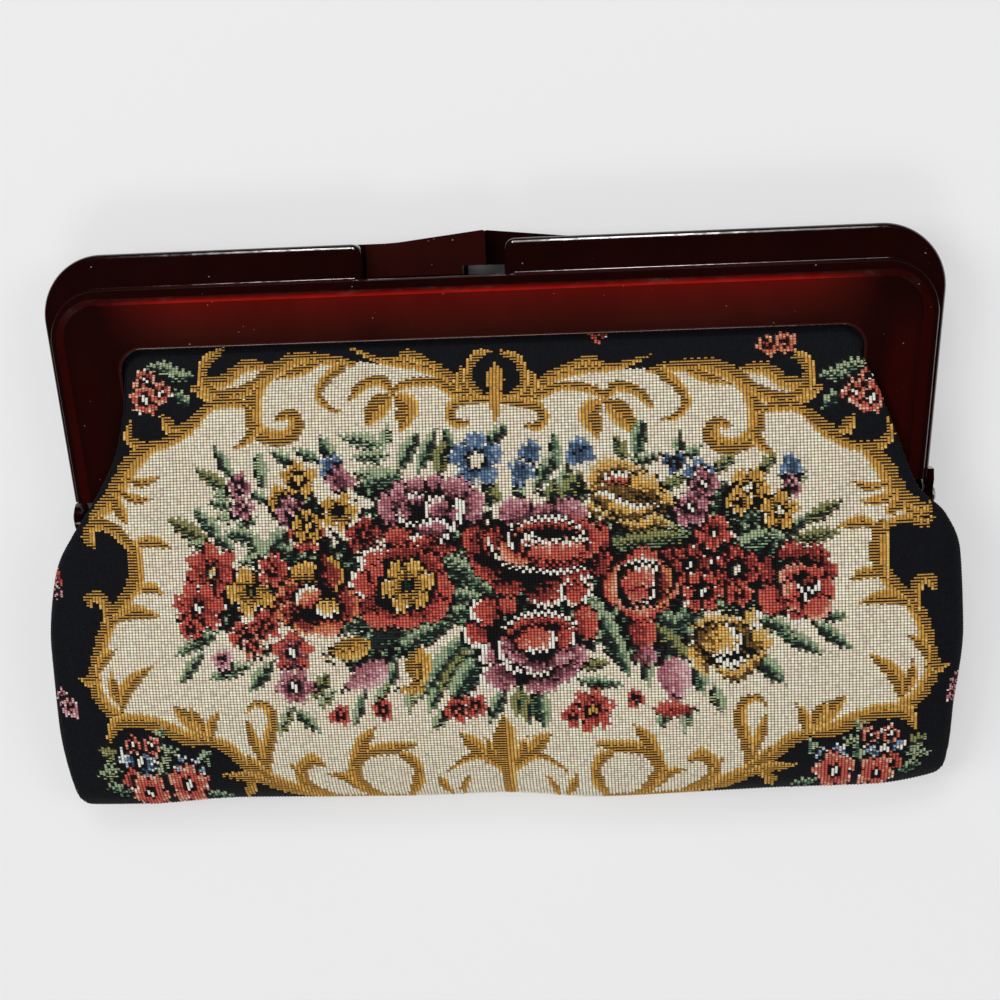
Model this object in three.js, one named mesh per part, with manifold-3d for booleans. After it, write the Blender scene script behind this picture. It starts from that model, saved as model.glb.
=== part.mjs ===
import * as THREE from "three";
import { mergeVertices } from "three/addons/utils/BufferGeometryUtils.js";
import Module from "manifold-3d";

// A tapestry clutch bag lying on its back, in millimetres.
// X runs across the bag, Y runs up to the frame's top edge, Z rises from the table.

// Moulded frame: two equal halves that meet in a parting plane at half the depth.
const FRAME_TOP = 90;
const FRAME_DEPTH = 26;
const SHOULDER_HALF = 144;
const SHOULDER_Y = 70.5;
const ARM_END_HALF = 137.5;
const ARM_END_Y = 10;
const PARTING = FRAME_DEPTH / 2;
const PARTING_GAP = 0.15;
const ARM_SLOPE = (SHOULDER_HALF - ARM_END_HALF) / (SHOULDER_Y - ARM_END_Y);
const CORNER_STEPS = 10;

// The moulding's section as rails that follow the U.
// top: inset from the top edge, side: inset from the arm's outer edge,
// radius: corner radius of the rail, height: above the parting plane.
const FRAME_RAILS = [
  { rail: "foot, outside", top: 0, side: 0, radius: 19.5, height: PARTING_GAP },
  { rail: "rim shoulder", top: 0, side: 0, radius: 19.5, height: 8 },
  { rail: "rim rounding", top: 0.4, side: 0.3, radius: 19.1, height: 8.8 },
  { rail: "band, outer edge", top: 1.2, side: 0.6, radius: 18.3, height: 9.1 },
  { rail: "band, inner edge", top: 10.8, side: 1.2, radius: 16, height: 9.1 },
  { rail: "riser top", top: 11.8, side: 1.9, radius: 15.3, height: 10.9 },
  { rail: "strip, inner edge", top: 14.2, side: 4.1, radius: 13, height: 10.9 },
  { rail: "bevel top", top: 16.4, side: 5.8, radius: 11.2, height: 13 },
  { rail: "face, inner edge", top: 30.4, side: 23.3, radius: 7.2, height: 13 },
  { rail: "lip rounding", top: 31, side: 24, radius: 6.6, height: 12.4 },
  { rail: "lip, underside", top: 31, side: 24, radius: 6.6, height: 10 },
  { rail: "face, underside", top: 18.2, side: 8.6, radius: 9.4, height: 10 },
  { rail: "step, underside", top: 13, side: 4.4, radius: 13, height: 7 },
  { rail: "band, underside", top: 3.2, side: 3.2, radius: 16.5, height: 6 },
  { rail: "foot, inside", top: 3.2, side: 3.2, radius: 16.5, height: PARTING_GAP },
];

// Clasp: a recess in the front band, and a tab beside it that crosses into the other half's recess.
const RECESS_LEFT = -38.7;
const RECESS_RIGHT = 6.5;
const RECESS_FLOOR = 78.9;
const RECESS_ROUND = 3.5;
const TAB_TIP = -0.4;
const TAB_PEAK = 93;
const TAB_SLOPE_END = 27.3;
const TAB_ROOT = 7.2;
const TAB_END = 38.2;
const TAB_BASE = 79.3;
const HOOK_BASE = 81.9;
const TAB_REACH = 4.4;
const TAB_CLEARANCE = 0.2;
const TAB_ROOT_HEIGHT = 8;

// Hinge at each arm end: an outer lug of one half over an inner lug of the other, on a pin along X.
const HINGE_Y = 4;
const LUG_RADIUS = 5;
const LUG_THICKNESS = 2.8;
const OUTER_LUG_X = 136.6;
const INNER_LUG_X = 133.5;
const LUG_TOP = 8.5;
const LUG_ROOT_Y = 13;
const BORE_RADIUS = 1.6;
const PIN_RADIUS = 1.3;
const PIN_HEAD_RADIUS = 2.4;
const PIN_HEAD_DEPTH = 1;
const PIN_INNER_X = 133.2;
const PIN_OUTER_X = 139.7;

// Cloth panels, one sheet each, with a section in every row from the frame down to the bottom seam.
// y: place of the section, crown: height at the middle, shoulder: height at the widest point,
// left and right: half widths there, roll, run and hem: heights of the turned-in side from the
// shoulder to its edge, leftHem and rightHem: half widths at that edge.
const CLOTH = 1.2;
const FRONT_ROWS = [
  row(66, 22.3, 22.3, 114, 114, 22.3, 22.3, 22.3, 119.8, 119.8),
  row(59.8, 22.3, 22.3, 114.5, 114.5, 22.3, 22.3, 22.2, 119.6, 119.6),
  row(54.5, 24.4, 23.2, 115.2, 115.2, 22.9, 22.4, 22.2, 118.8, 118.8),
  row(49.5, 26.6, 25.6, 117.1, 117.3, 25.2, 24.4, 22, 117.2, 117.3),
  row(44, 29, 27.8, 117, 120, 27, 26.8, 21.5, 115.6, 115.6),
  row(28, 32.4, 29.4, 119.8, 126.2, 27.6, 27, 21.5, 113.9, 113.9),
  row(8.6, 34.2, 30, 130, 133.4, 27.8, 27, 21.5, 112, 112),
  row(-0.5, 34.8, 28, 137, 142, 23.6, 18.4, 14.2, 126.5, 131),
  row(-13, 35, 24.6, 144.2, 146.8, 21.4, 17.6, 14.6, 142.2, 144.6),
  row(-38, 34.4, 22.6, 148.1, 147.7, 19.6, 16.8, 14.4, 147.3, 146.9),
  row(-64, 30.6, 20.4, 148, 144.5, 18, 15.8, 13.8, 147.2, 143.8),
  row(-82, 24, 17.6, 146.2, 143.2, 15.8, 14.2, 12.6, 145.6, 142.6),
  row(-90.4, 18, 14.4, 144.4, 142, 13.2, 12.2, 11.2, 144.6, 142.2),
  row(-93, 13.2, 12, 141, 138.5, 11.6, 11.2, 10.5, 142.6, 140),
  row(-93, 10.15, 10.15, 134.4, 133.4, 10.15, 10.15, 10.15, 138.8, 137),
];
const BACK_ROWS = [
  row(66, 3.7, 3.7, 112, 112, 3.7, 3.7, 3.7, 117.6, 117.6),
  row(59.8, 3.6, 3.6, 112, 112, 3.6, 3.6, 3.6, 117.4, 117.4),
  row(54, 2, 2.4, 112.5, 112.5, 2.6, 3, 3.8, 116.8, 116.8),
  row(44, 0.3, 1.8, 113, 113, 2.4, 3.4, 4.6, 115.4, 115.4),
  row(28, 0.2, 1.8, 111.4, 111.4, 2.4, 3.4, 4.6, 113.6, 113.6),
  row(8.6, 0.2, 2.4, 110.4, 110.4, 3.4, 4.6, 6.2, 112, 112),
  row(-0.5, 0.2, 4.8, 128, 132.2, 8.4, 11.6, 13.9, 126.5, 131),
  row(-13, 0.2, 7.4, 142.8, 145.2, 10.4, 12.6, 14.3, 142.2, 144.6),
  row(-38, 0.2, 7.4, 147.8, 147.4, 10.2, 12.4, 14.1, 147.3, 146.9),
  row(-64, 0.2, 7.2, 147.8, 144.3, 9.8, 11.8, 13.5, 147.2, 143.8),
  row(-82, 0.6, 6.4, 146.2, 143.2, 8.8, 10.6, 12.3, 145.6, 142.6),
  row(-90.4, 3.4, 6.6, 144.4, 142, 8.4, 9.8, 10.9, 144.6, 142.2),
  row(-93, 6.8, 8, 141, 138.5, 8.4, 8.8, 9.4, 142.6, 140),
  row(-93, 9.85, 9.85, 134.4, 133.4, 9.85, 9.85, 9.85, 138.8, 137),
];
// How far out and how far down from crown to shoulder the points between them lie.
const ARCH = [
  { out: 0, drop: 0 },
  { out: 0.4, drop: 0.03 },
  { out: 0.75, drop: 0.14 },
  { out: 0.92, drop: 0.32 },
  { out: 0.985, drop: 0.6 },
];
// Facets in each stretch of a section, from the middle out to the edge.
const FRONT_FACETS = [4, 4, 3, 2, 1, 2, 1, 1];
const BACK_FACETS = [2, 2, 2, 2, 1, 1, 1, 1];
const LINES_PER_ROW = 2;
const ROLL_SHARE = 0.15;
const RUN_SHARE = 0.93;

// How far the bottom seam lies above its straight line, at even steps from the left side to the right.
const SEAM_RISE = [-1.2, -1, 0.9, 0.8, 0.8, 1.5, -0.3, 0.7, 1.9, 2.6, 8];
const SEAM_HALF = 150;
const SEAM_Y = -93;
const SEAM_REACH = 27;

// Soft folds of the front panel: middle, heading in degrees, half length, half width, height.
const FOLDS = [
  { x: -96, y: 14, heading: -62, length: 30, width: 9, height: -1.9 },
  { x: -112, y: -2, heading: -58, length: 26, width: 7, height: 1.3 },
  { x: 112, y: 6, heading: -128, length: 26, width: 7, height: -1.6 },
  { x: 124, y: -6, heading: -124, length: 24, width: 6, height: 1.2 },
  { x: -30, y: 40, heading: 4, length: 60, width: 7, height: 0.8 },
  { x: 70, y: -50, heading: 20, length: 40, width: 14, height: 0.9 },
  { x: -80, y: -56, heading: -16, length: 40, width: 14, height: 0.9 },
];

function row(y, crown, shoulder, left, right, roll, run, hem, leftHem, rightHem) {
  return { y, crown, shoulder, left, right, roll, run, hem, leftHem, rightHem };
}

const wasm = await Module();
wasm.setup();

function solid(geometry) {
  const bare = new THREE.BufferGeometry();
  bare.setAttribute("position", geometry.getAttribute("position"));
  bare.setIndex(geometry.getIndex());
  const merged = mergeVertices(bare, 1e-4);
  return new wasm.Manifold(
    new wasm.Mesh({
      numProp: 3,
      vertProperties: new Float32Array(merged.getAttribute("position").array),
      triVerts: new Uint32Array(merged.getIndex().array),
    }),
  );
}

function geometryOf(body) {
  const mesh = body.getMesh();
  const geometry = new THREE.BufferGeometry();
  geometry.setAttribute("position", new THREE.BufferAttribute(mesh.vertProperties, 3));
  geometry.setIndex(new THREE.BufferAttribute(mesh.triVerts, 1));
  geometry.computeVertexNormals();
  return geometry;
}

function meshFromTriangles(points, triangles) {
  const geometry = new THREE.BufferGeometry();
  geometry.setAttribute("position", new THREE.Float32BufferAttribute(points.flat(), 3));
  geometry.setIndex(triangles.flat());
  geometry.computeVertexNormals();
  return geometry;
}

function turnedOutward(points, triangles) {
  let volume = 0;
  for (const [i, j, k] of triangles) {
    const a = new THREE.Vector3(...points[i]);
    const b = new THREE.Vector3(...points[j]);
    const c = new THREE.Vector3(...points[k]);
    volume += a.dot(b.cross(c));
  }
  return volume > 0 ? triangles : triangles.map(([i, j, k]) => [i, k, j]);
}

// One rail of the U, from the left arm's end over the top to the right arm's end.
function railPath({ top, side, radius }) {
  const lean = Math.hypot(1, ARM_SLOPE);
  const endHalf = ARM_END_HALF - side;
  const topY = FRAME_TOP - top;
  const centreY = topY - radius;
  const centreX = endHalf + ARM_SLOPE * (centreY - ARM_END_Y) - radius * lean;
  const lastAngle = -Math.atan(ARM_SLOPE);
  const right = [];
  for (let i = 0; i <= CORNER_STEPS; i += 1) {
    const angle = Math.PI / 2 + ((lastAngle - Math.PI / 2) * i) / CORNER_STEPS;
    right.push([centreX + radius * Math.cos(angle), centreY + radius * Math.sin(angle)]);
  }
  right.push([endHalf, ARM_END_Y]);
  const left = right.map(([x, y]) => [-x, y]).reverse();
  return [...left, ...right];
}

function frameMoulding() {
  const paths = FRAME_RAILS.map(railPath);
  const stations = paths[0].length;
  const rails = FRAME_RAILS.length;
  const points = [];
  for (let s = 0; s < stations; s += 1) {
    for (let r = 0; r < rails; r += 1) {
      points.push([paths[r][s][0], paths[r][s][1], FRAME_RAILS[r].height]);
    }
  }
  const triangles = [];
  for (let s = 0; s + 1 < stations; s += 1) {
    for (let r = 0; r < rails; r += 1) {
      const a = s * rails + r;
      const b = s * rails + ((r + 1) % rails);
      triangles.push([a, a + rails, b + rails], [a, b + rails, b]);
    }
  }
  const section = FRAME_RAILS.map((_, r) => new THREE.Vector2(points[r][0], points[r][2]));
  const last = (stations - 1) * rails;
  const sectionTurn = Math.sign(THREE.ShapeUtils.area(section));
  for (const [i, j, k] of THREE.ShapeUtils.triangulateShape(section, [])) {
    const turn = Math.sign(THREE.ShapeUtils.area([section[i], section[j], section[k]]));
    const [p, q] = turn === sectionTurn ? [j, k] : [k, j];
    triangles.push([i, p, q], [last + i, last + q, last + p]);
  }
  return solid(meshFromTriangles(points, turnedOutward(points, triangles)));
}

function plate(outline, from, to) {
  const geometry = new THREE.ExtrudeGeometry(outline, {
    depth: to - from,
    bevelEnabled: false,
    curveSegments: 6,
  });
  geometry.translate(0, 0, from);
  return geometry;
}

function recessCutter() {
  const outline = new THREE.Shape();
  const turnY = FRAME_TOP - RECESS_ROUND;
  const above = FRAME_TOP + 6;
  outline.moveTo(RECESS_LEFT, RECESS_FLOOR);
  outline.lineTo(RECESS_RIGHT, RECESS_FLOOR);
  outline.lineTo(RECESS_RIGHT, turnY);
  outline.absarc(RECESS_RIGHT + RECESS_ROUND, turnY, RECESS_ROUND, Math.PI, Math.PI / 2, true);
  outline.lineTo(RECESS_RIGHT + RECESS_ROUND, above);
  outline.lineTo(RECESS_LEFT - RECESS_ROUND, above);
  outline.lineTo(RECESS_LEFT - RECESS_ROUND, FRAME_TOP);
  outline.absarc(RECESS_LEFT - RECESS_ROUND, turnY, RECESS_ROUND, Math.PI / 2, 0, true);
  return solid(plate(outline, -1, FRAME_DEPTH));
}

function claspTab() {
  const face = new THREE.Shape();
  face.moveTo(TAB_TIP, HOOK_BASE);
  face.lineTo(TAB_ROOT, HOOK_BASE);
  face.lineTo(TAB_ROOT, TAB_BASE);
  face.lineTo(TAB_END, TAB_BASE);
  face.lineTo(TAB_END, FRAME_TOP - 0.4);
  face.lineTo(TAB_SLOPE_END, FRAME_TOP + 0.1);
  face.lineTo(TAB_TIP + 0.8, TAB_PEAK);
  face.lineTo(TAB_TIP, TAB_PEAK - 0.4);
  const root = new THREE.Shape();
  root.moveTo(TAB_ROOT, TAB_BASE);
  root.lineTo(TAB_END, TAB_BASE);
  root.lineTo(TAB_END, FRAME_TOP - 1);
  root.lineTo(TAB_ROOT, FRAME_TOP - 1);
  const hook = solid(plate(face, -TAB_REACH, -TAB_CLEARANCE));
  return hook.add(solid(plate(root, -TAB_REACH / 2, TAB_ROOT_HEIGHT)));
}

// A plate drawn in the YZ plane and given its thickness along X.
function lug(innerX) {
  const outline = new THREE.Shape();
  const start = THREE.MathUtils.degToRad(70);
  const end = THREE.MathUtils.degToRad(362);
  outline.moveTo(LUG_ROOT_Y, 2 * PARTING_GAP);
  outline.lineTo(LUG_ROOT_Y, LUG_TOP);
  outline.lineTo(HINGE_Y + LUG_RADIUS + 0.5, LUG_TOP);
  outline.absarc(HINGE_Y, 0, LUG_RADIUS, start, end, false);
  const geometry = new THREE.ExtrudeGeometry(outline, {
    depth: LUG_THICKNESS,
    bevelEnabled: false,
    curveSegments: 24,
  });
  const axes = new THREE.Matrix4().makeBasis(
    new THREE.Vector3(0, 1, 0),
    new THREE.Vector3(0, 0, 1),
    new THREE.Vector3(1, 0, 0),
  );
  geometry.applyMatrix4(axes);
  geometry.translate(innerX, 0, 0);
  return solid(geometry);
}

function hingeBore() {
  const geometry = new THREE.CylinderGeometry(BORE_RADIUS, BORE_RADIUS, 4 * ARM_END_HALF, 20);
  geometry.rotateZ(Math.PI / 2);
  geometry.translate(0, HINGE_Y, 0);
  return solid(geometry);
}

// One half of the frame above the parting plane at Z = 0, its outer lug on the right.
function frameHalf() {
  const body = frameMoulding().subtract(recessCutter()).add(claspTab());
  const withLugs = body.add(lug(OUTER_LUG_X)).add(lug(-INNER_LUG_X - LUG_THICKNESS));
  return geometryOf(withLugs.subtract(hingeBore()));
}

function hingePin() {
  const profile = [
    [0, PIN_INNER_X - PIN_HEAD_DEPTH],
    [PIN_HEAD_RADIUS * 0.7, PIN_INNER_X - PIN_HEAD_DEPTH],
    [PIN_HEAD_RADIUS, PIN_INNER_X - PIN_HEAD_DEPTH / 2],
    [PIN_HEAD_RADIUS, PIN_INNER_X],
    [PIN_RADIUS, PIN_INNER_X],
    [PIN_RADIUS, PIN_OUTER_X],
    [PIN_HEAD_RADIUS, PIN_OUTER_X],
    [PIN_HEAD_RADIUS, PIN_OUTER_X + PIN_HEAD_DEPTH / 2],
    [PIN_HEAD_RADIUS * 0.7, PIN_OUTER_X + PIN_HEAD_DEPTH],
    [0, PIN_OUTER_X + PIN_HEAD_DEPTH],
  ];
  const geometry = new THREE.LatheGeometry(
    profile.map(([radius, along]) => new THREE.Vector2(radius, along)),
    12,
  );
  geometry.rotateZ(-Math.PI / 2);
  geometry.translate(0, HINGE_Y, PARTING);
  return geometryOf(solid(geometry));
}

// A smooth curve through evenly spaced values that never swings past them.
function through(values, t) {
  const last = values.length - 1;
  const place = Math.min(Math.max(t, 0), 1) * last;
  const i = Math.min(Math.floor(place), last - 1);
  const f = place - i;
  const step = values[i + 1] - values[i];
  const before = i > 0 ? values[i] - values[i - 1] : step;
  const after = i + 2 <= last ? values[i + 2] - values[i + 1] : step;
  const start = before * step > 0 ? (2 * before * step) / (before + step) : 0;
  const end = step * after > 0 ? (2 * step * after) / (step + after) : 0;
  const bend = 3 * step - 2 * start - end;
  const twist = start + end - 2 * step;
  return values[i] + f * (start + f * (bend + f * twist));
}

function halfSection(section, widest, hem) {
  const { crown, shoulder, roll, run } = section;
  const arch = ARCH.map(({ out, drop }) => [widest * out, crown + (shoulder - crown) * drop]);
  return [
    ...arch,
    [widest, shoulder],
    [widest + (hem - widest) * ROLL_SHARE, roll],
    [widest + (hem - widest) * RUN_SHARE, run],
    [hem, section.hem],
  ];
}

function foldHeight(x, y) {
  let height = 0;
  for (const fold of FOLDS) {
    const heading = THREE.MathUtils.degToRad(fold.heading);
    const along = (x - fold.x) * Math.cos(heading) + (y - fold.y) * Math.sin(heading);
    const aside = (y - fold.y) * Math.cos(heading) - (x - fold.x) * Math.sin(heading);
    height += fold.height * Math.exp(-((along / fold.length) ** 2) - (aside / fold.width) ** 2);
  }
  return height;
}

function seamRise(x, y) {
  const near = Math.min(Math.max(1 - (y - SEAM_Y) / SEAM_REACH, 0), 1);
  const share = near * near * (3 - 2 * near);
  return share * through(SEAM_RISE, (1 + x / SEAM_HALF) / 2);
}

// A point of the sheet: u from the left edge to the right edge, v from the frame to the bottom seam.
function sheetPoint(rows, folded, u, v) {
  const section = {};
  for (const column of Object.keys(rows[0])) {
    section[column] = through(rows.map((entry) => entry[column]), v);
  }
  const right = halfSection(section, section.right, section.rightHem);
  const left = halfSection(section, section.left, section.leftHem).map(([x, z]) => [-x, z]);
  const across = [...left.slice(1).reverse(), ...right];
  const x = through(across.map((point) => point[0]), u);
  let z = through(across.map((point) => point[1]), u);
  if (folded) {
    const reach = 1 - Math.min(1, Math.abs(2 * u - 1) / 0.62) ** 4;
    const down = Math.min(1, v / 0.24) * Math.min(1, (1 - v) / 0.2);
    z += foldHeight(x, section.y) * reach * down;
  }
  return new THREE.Vector3(x, section.y + seamRise(x, section.y), z);
}

function sheetNormal(rows, folded, u, v) {
  const step = 1e-3;
  const u0 = Math.max(0, u - step);
  const u1 = Math.min(1, u + step);
  const v0 = Math.max(0, v - step);
  const v1 = Math.min(1, v + step);
  const across = sheetPoint(rows, folded, u1, v).sub(sheetPoint(rows, folded, u0, v));
  const down = sheetPoint(rows, folded, u, v1).sub(sheetPoint(rows, folded, u, v0));
  return down.cross(across).normalize();
}

function placesAcross(facets) {
  const outward = [0];
  facets.forEach((count, stretch) => {
    for (let i = 1; i <= count; i += 1) {
      outward.push((stretch + i / count) / facets.length);
    }
  });
  const right = outward.map((share) => 0.5 + share / 2);
  const left = outward.slice(1).map((share) => 0.5 - share / 2);
  return [...left.reverse(), ...right];
}

// A cloth wall: the outer sheet, the same sheet moved in by the cloth's thickness, and the edges.
function clothPanel(rows, inward, folded, facets) {
  const points = [];
  const triangles = [];
  const places = placesAcross(facets);
  const columns = places.length - 1;
  const lines = (rows.length - 1) * LINES_PER_ROW;
  const width = columns + 1;
  const layer = width * (lines + 1);
  for (const depth of [0, CLOTH]) {
    for (let j = 0; j <= lines; j += 1) {
      for (const u of places) {
        const v = j / lines;
        const point = sheetPoint(rows, folded, u, v);
        const normal = sheetNormal(rows, folded, u, v);
        point.addScaledVector(normal, inward * depth);
        points.push(point.toArray());
      }
    }
  }
  for (let j = 0; j < lines; j += 1) {
    for (let i = 0; i < columns; i += 1) {
      const a = j * width + i;
      const b = a + 1;
      const c = a + width;
      const d = c + 1;
      triangles.push([a, c, d], [a, d, b]);
      triangles.push([layer + a, layer + d, layer + c], [layer + a, layer + b, layer + d]);
    }
  }
  const rim = [];
  for (let i = 0; i < columns; i += 1) {
    rim.push(i);
  }
  for (let j = 0; j < lines; j += 1) {
    rim.push(j * width + columns);
  }
  for (let i = columns; i > 0; i -= 1) {
    rim.push(lines * width + i);
  }
  for (let j = lines; j > 0; j -= 1) {
    rim.push(j * width);
  }
  rim.forEach((a, i) => {
    const b = rim[(i + 1) % rim.length];
    triangles.push([a, b, layer + b], [a, layer + b, layer + a]);
  });
  return meshFromTriangles(points, turnedOutward(points, triangles));
}

const group = new THREE.Group();

function addPart(name, geometry, color, roughness, metalness) {
  const material = new THREE.MeshStandardMaterial({ color, roughness, metalness });
  const mesh = new THREE.Mesh(geometry, material);
  mesh.name = name;
  group.add(mesh);
}

const half = frameHalf();
const frontHalf = half.clone().translate(0, 0, PARTING);
const rearHalf = half.clone().rotateY(Math.PI).translate(0, 0, PARTING);
const rightPin = hingePin();
const leftPin = rightPin.clone().rotateZ(Math.PI).translate(0, 2 * HINGE_Y, 0);

addPart("frame_front", frontHalf, 0x2a0706, 0.15, 0);
addPart("frame_rear", rearHalf, 0x2a0706, 0.15, 0);
addPart("hinge_pin_left", leftPin, 0x8c8474, 0.35, 1);
addPart("hinge_pin_right", rightPin, 0x8c8474, 0.35, 1);
addPart("bag_front", clothPanel(FRONT_ROWS, -1, true, FRONT_FACETS), 0x6b5a44, 0.9, 0);
addPart("bag_back", clothPanel(BACK_ROWS, 1, false, BACK_FACETS), 0x6b5a44, 0.9, 0);

export default group;
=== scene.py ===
import math

import bmesh
import bpy
import numpy as np
from mathutils import Matrix, Vector


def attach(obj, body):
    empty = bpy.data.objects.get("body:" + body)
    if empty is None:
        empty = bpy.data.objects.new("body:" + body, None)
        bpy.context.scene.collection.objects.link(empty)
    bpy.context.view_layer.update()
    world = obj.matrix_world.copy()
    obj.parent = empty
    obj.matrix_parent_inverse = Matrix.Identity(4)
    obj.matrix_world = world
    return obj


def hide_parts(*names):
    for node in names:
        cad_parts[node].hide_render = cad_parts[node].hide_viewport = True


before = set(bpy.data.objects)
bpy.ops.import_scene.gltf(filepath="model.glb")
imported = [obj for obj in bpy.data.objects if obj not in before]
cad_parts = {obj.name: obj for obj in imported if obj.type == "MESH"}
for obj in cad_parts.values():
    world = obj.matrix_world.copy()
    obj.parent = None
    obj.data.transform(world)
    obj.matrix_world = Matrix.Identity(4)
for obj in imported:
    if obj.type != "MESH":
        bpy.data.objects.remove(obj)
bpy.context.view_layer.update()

MM = 0.001
dice = np.random.default_rng(11)
scene = bpy.context.scene


# Cloth surface: the same rows and sections as the part, in millimetres
ROW_COLUMNS = ("y", "crown", "shoulder", "left", "right", "roll", "run", "hem", "left_hem", "right_hem")
FRONT_ROWS = np.array([
    (66, 22.3, 22.3, 114, 114, 22.3, 22.3, 22.3, 119.8, 119.8),
    (59.8, 22.3, 22.3, 114.5, 114.5, 22.3, 22.3, 22.2, 119.6, 119.6),
    (54.5, 24.4, 23.2, 115.2, 115.2, 22.9, 22.4, 22.2, 118.8, 118.8),
    (49.5, 26.6, 25.6, 117.1, 117.3, 25.2, 24.4, 22, 117.2, 117.3),
    (44, 29, 27.8, 117, 120, 27, 26.8, 21.5, 115.6, 115.6),
    (28, 32.4, 29.4, 119.8, 126.2, 27.6, 27, 21.5, 113.9, 113.9),
    (8.6, 34.2, 30, 130, 133.4, 27.8, 27, 21.5, 112, 112),
    (-0.5, 34.8, 28, 137, 142, 23.6, 18.4, 14.2, 126.5, 131),
    (-13, 35, 24.6, 144.2, 146.8, 21.4, 17.6, 14.6, 142.2, 144.6),
    (-38, 34.4, 22.6, 148.1, 147.7, 19.6, 16.8, 14.4, 147.3, 146.9),
    (-64, 30.6, 20.4, 148, 144.5, 18, 15.8, 13.8, 147.2, 143.8),
    (-82, 24, 17.6, 146.2, 143.2, 15.8, 14.2, 12.6, 145.6, 142.6),
    (-90.4, 18, 14.4, 144.4, 142, 13.2, 12.2, 11.2, 144.6, 142.2),
    (-93, 13.2, 12, 141, 138.5, 11.6, 11.2, 10.5, 142.6, 140),
    (-93, 10.15, 10.15, 134.4, 133.4, 10.15, 10.15, 10.15, 138.8, 137),
])
BACK_ROWS = np.array([
    (66, 3.7, 3.7, 112, 112, 3.7, 3.7, 3.7, 117.6, 117.6),
    (59.8, 3.6, 3.6, 112, 112, 3.6, 3.6, 3.6, 117.4, 117.4),
    (54, 2, 2.4, 112.5, 112.5, 2.6, 3, 3.8, 116.8, 116.8),
    (44, 0.3, 1.8, 113, 113, 2.4, 3.4, 4.6, 115.4, 115.4),
    (28, 0.2, 1.8, 111.4, 111.4, 2.4, 3.4, 4.6, 113.6, 113.6),
    (8.6, 0.2, 2.4, 110.4, 110.4, 3.4, 4.6, 6.2, 112, 112),
    (-0.5, 0.2, 4.8, 128, 132.2, 8.4, 11.6, 13.9, 126.5, 131),
    (-13, 0.2, 7.4, 142.8, 145.2, 10.4, 12.6, 14.3, 142.2, 144.6),
    (-38, 0.2, 7.4, 147.8, 147.4, 10.2, 12.4, 14.1, 147.3, 146.9),
    (-64, 0.2, 7.2, 147.8, 144.3, 9.8, 11.8, 13.5, 147.2, 143.8),
    (-82, 0.6, 6.4, 146.2, 143.2, 8.8, 10.6, 12.3, 145.6, 142.6),
    (-90.4, 3.4, 6.6, 144.4, 142, 8.4, 9.8, 10.9, 144.6, 142.2),
    (-93, 6.8, 8, 141, 138.5, 8.4, 8.8, 9.4, 142.6, 140),
    (-93, 9.85, 9.85, 134.4, 133.4, 9.85, 9.85, 9.85, 138.8, 137),
])
ARCH = ((0, 0), (0.4, 0.03), (0.75, 0.14), (0.92, 0.32), (0.985, 0.6))
ROLL_SHARE = 0.15
RUN_SHARE = 0.93
# how far the bottom seam lies above its straight line, at even steps from the left side to the right
SEAM_RISE = np.array((-1.2, -1, 0.9, 0.8, 0.8, 1.5, -0.3, 0.7, 1.9, 2.6, 8))
SEAM_HALF = 150
SEAM_Y = -93
SEAM_REACH = 27
SEAM_GAP = 0.3
# x, y, heading in degrees, half length, half width, height
FOLDS = (
    (-96, 14, -62, 30, 9, -1.9),
    (-112, -2, -58, 26, 7, 1.3),
    (112, 6, -128, 26, 7, -1.6),
    (124, -6, -124, 24, 6, 1.2),
    (-30, 40, 4, 60, 7, 0.8),
    (70, -50, 20, 40, 14, 0.9),
    (-80, -56, -16, 40, 14, 0.9),
)
# folds die out towards the sides, the frame and the bottom seam: shares of the panel
FOLD_ACROSS = 0.62
FOLD_TOP = 0.24
FOLD_BOTTOM = 0.2


def bearing(degrees):
    angle = math.radians(degrees)
    return math.cos(angle), math.sin(angle)


def through(values, t):
    """A smooth curve through evenly spaced values (first axis) that never swings past them."""
    last = len(values) - 1
    place = np.clip(t, 0, 1) * last
    i = np.minimum(place.astype(int), last - 1)
    f = place - i

    def at(k):
        k = np.clip(k, 0, last)
        if values.ndim == 1:
            return values[k]
        return np.take_along_axis(values, k[None], 0)[0]

    step = at(i + 1) - at(i)
    before = np.where(i > 0, at(i) - at(i - 1), step)
    after = np.where(i + 2 <= last, at(i + 2) - at(i + 1), step)

    def mean(p, q):
        same = p * q > 0
        return np.where(same, 2 * p * q / np.where(same, p + q, 1), 0)

    start, end = mean(before, step), mean(step, after)
    return at(i) + f * (start + f * (3 * step - 2 * start - end + f * (start + end - 2 * step)))


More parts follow.
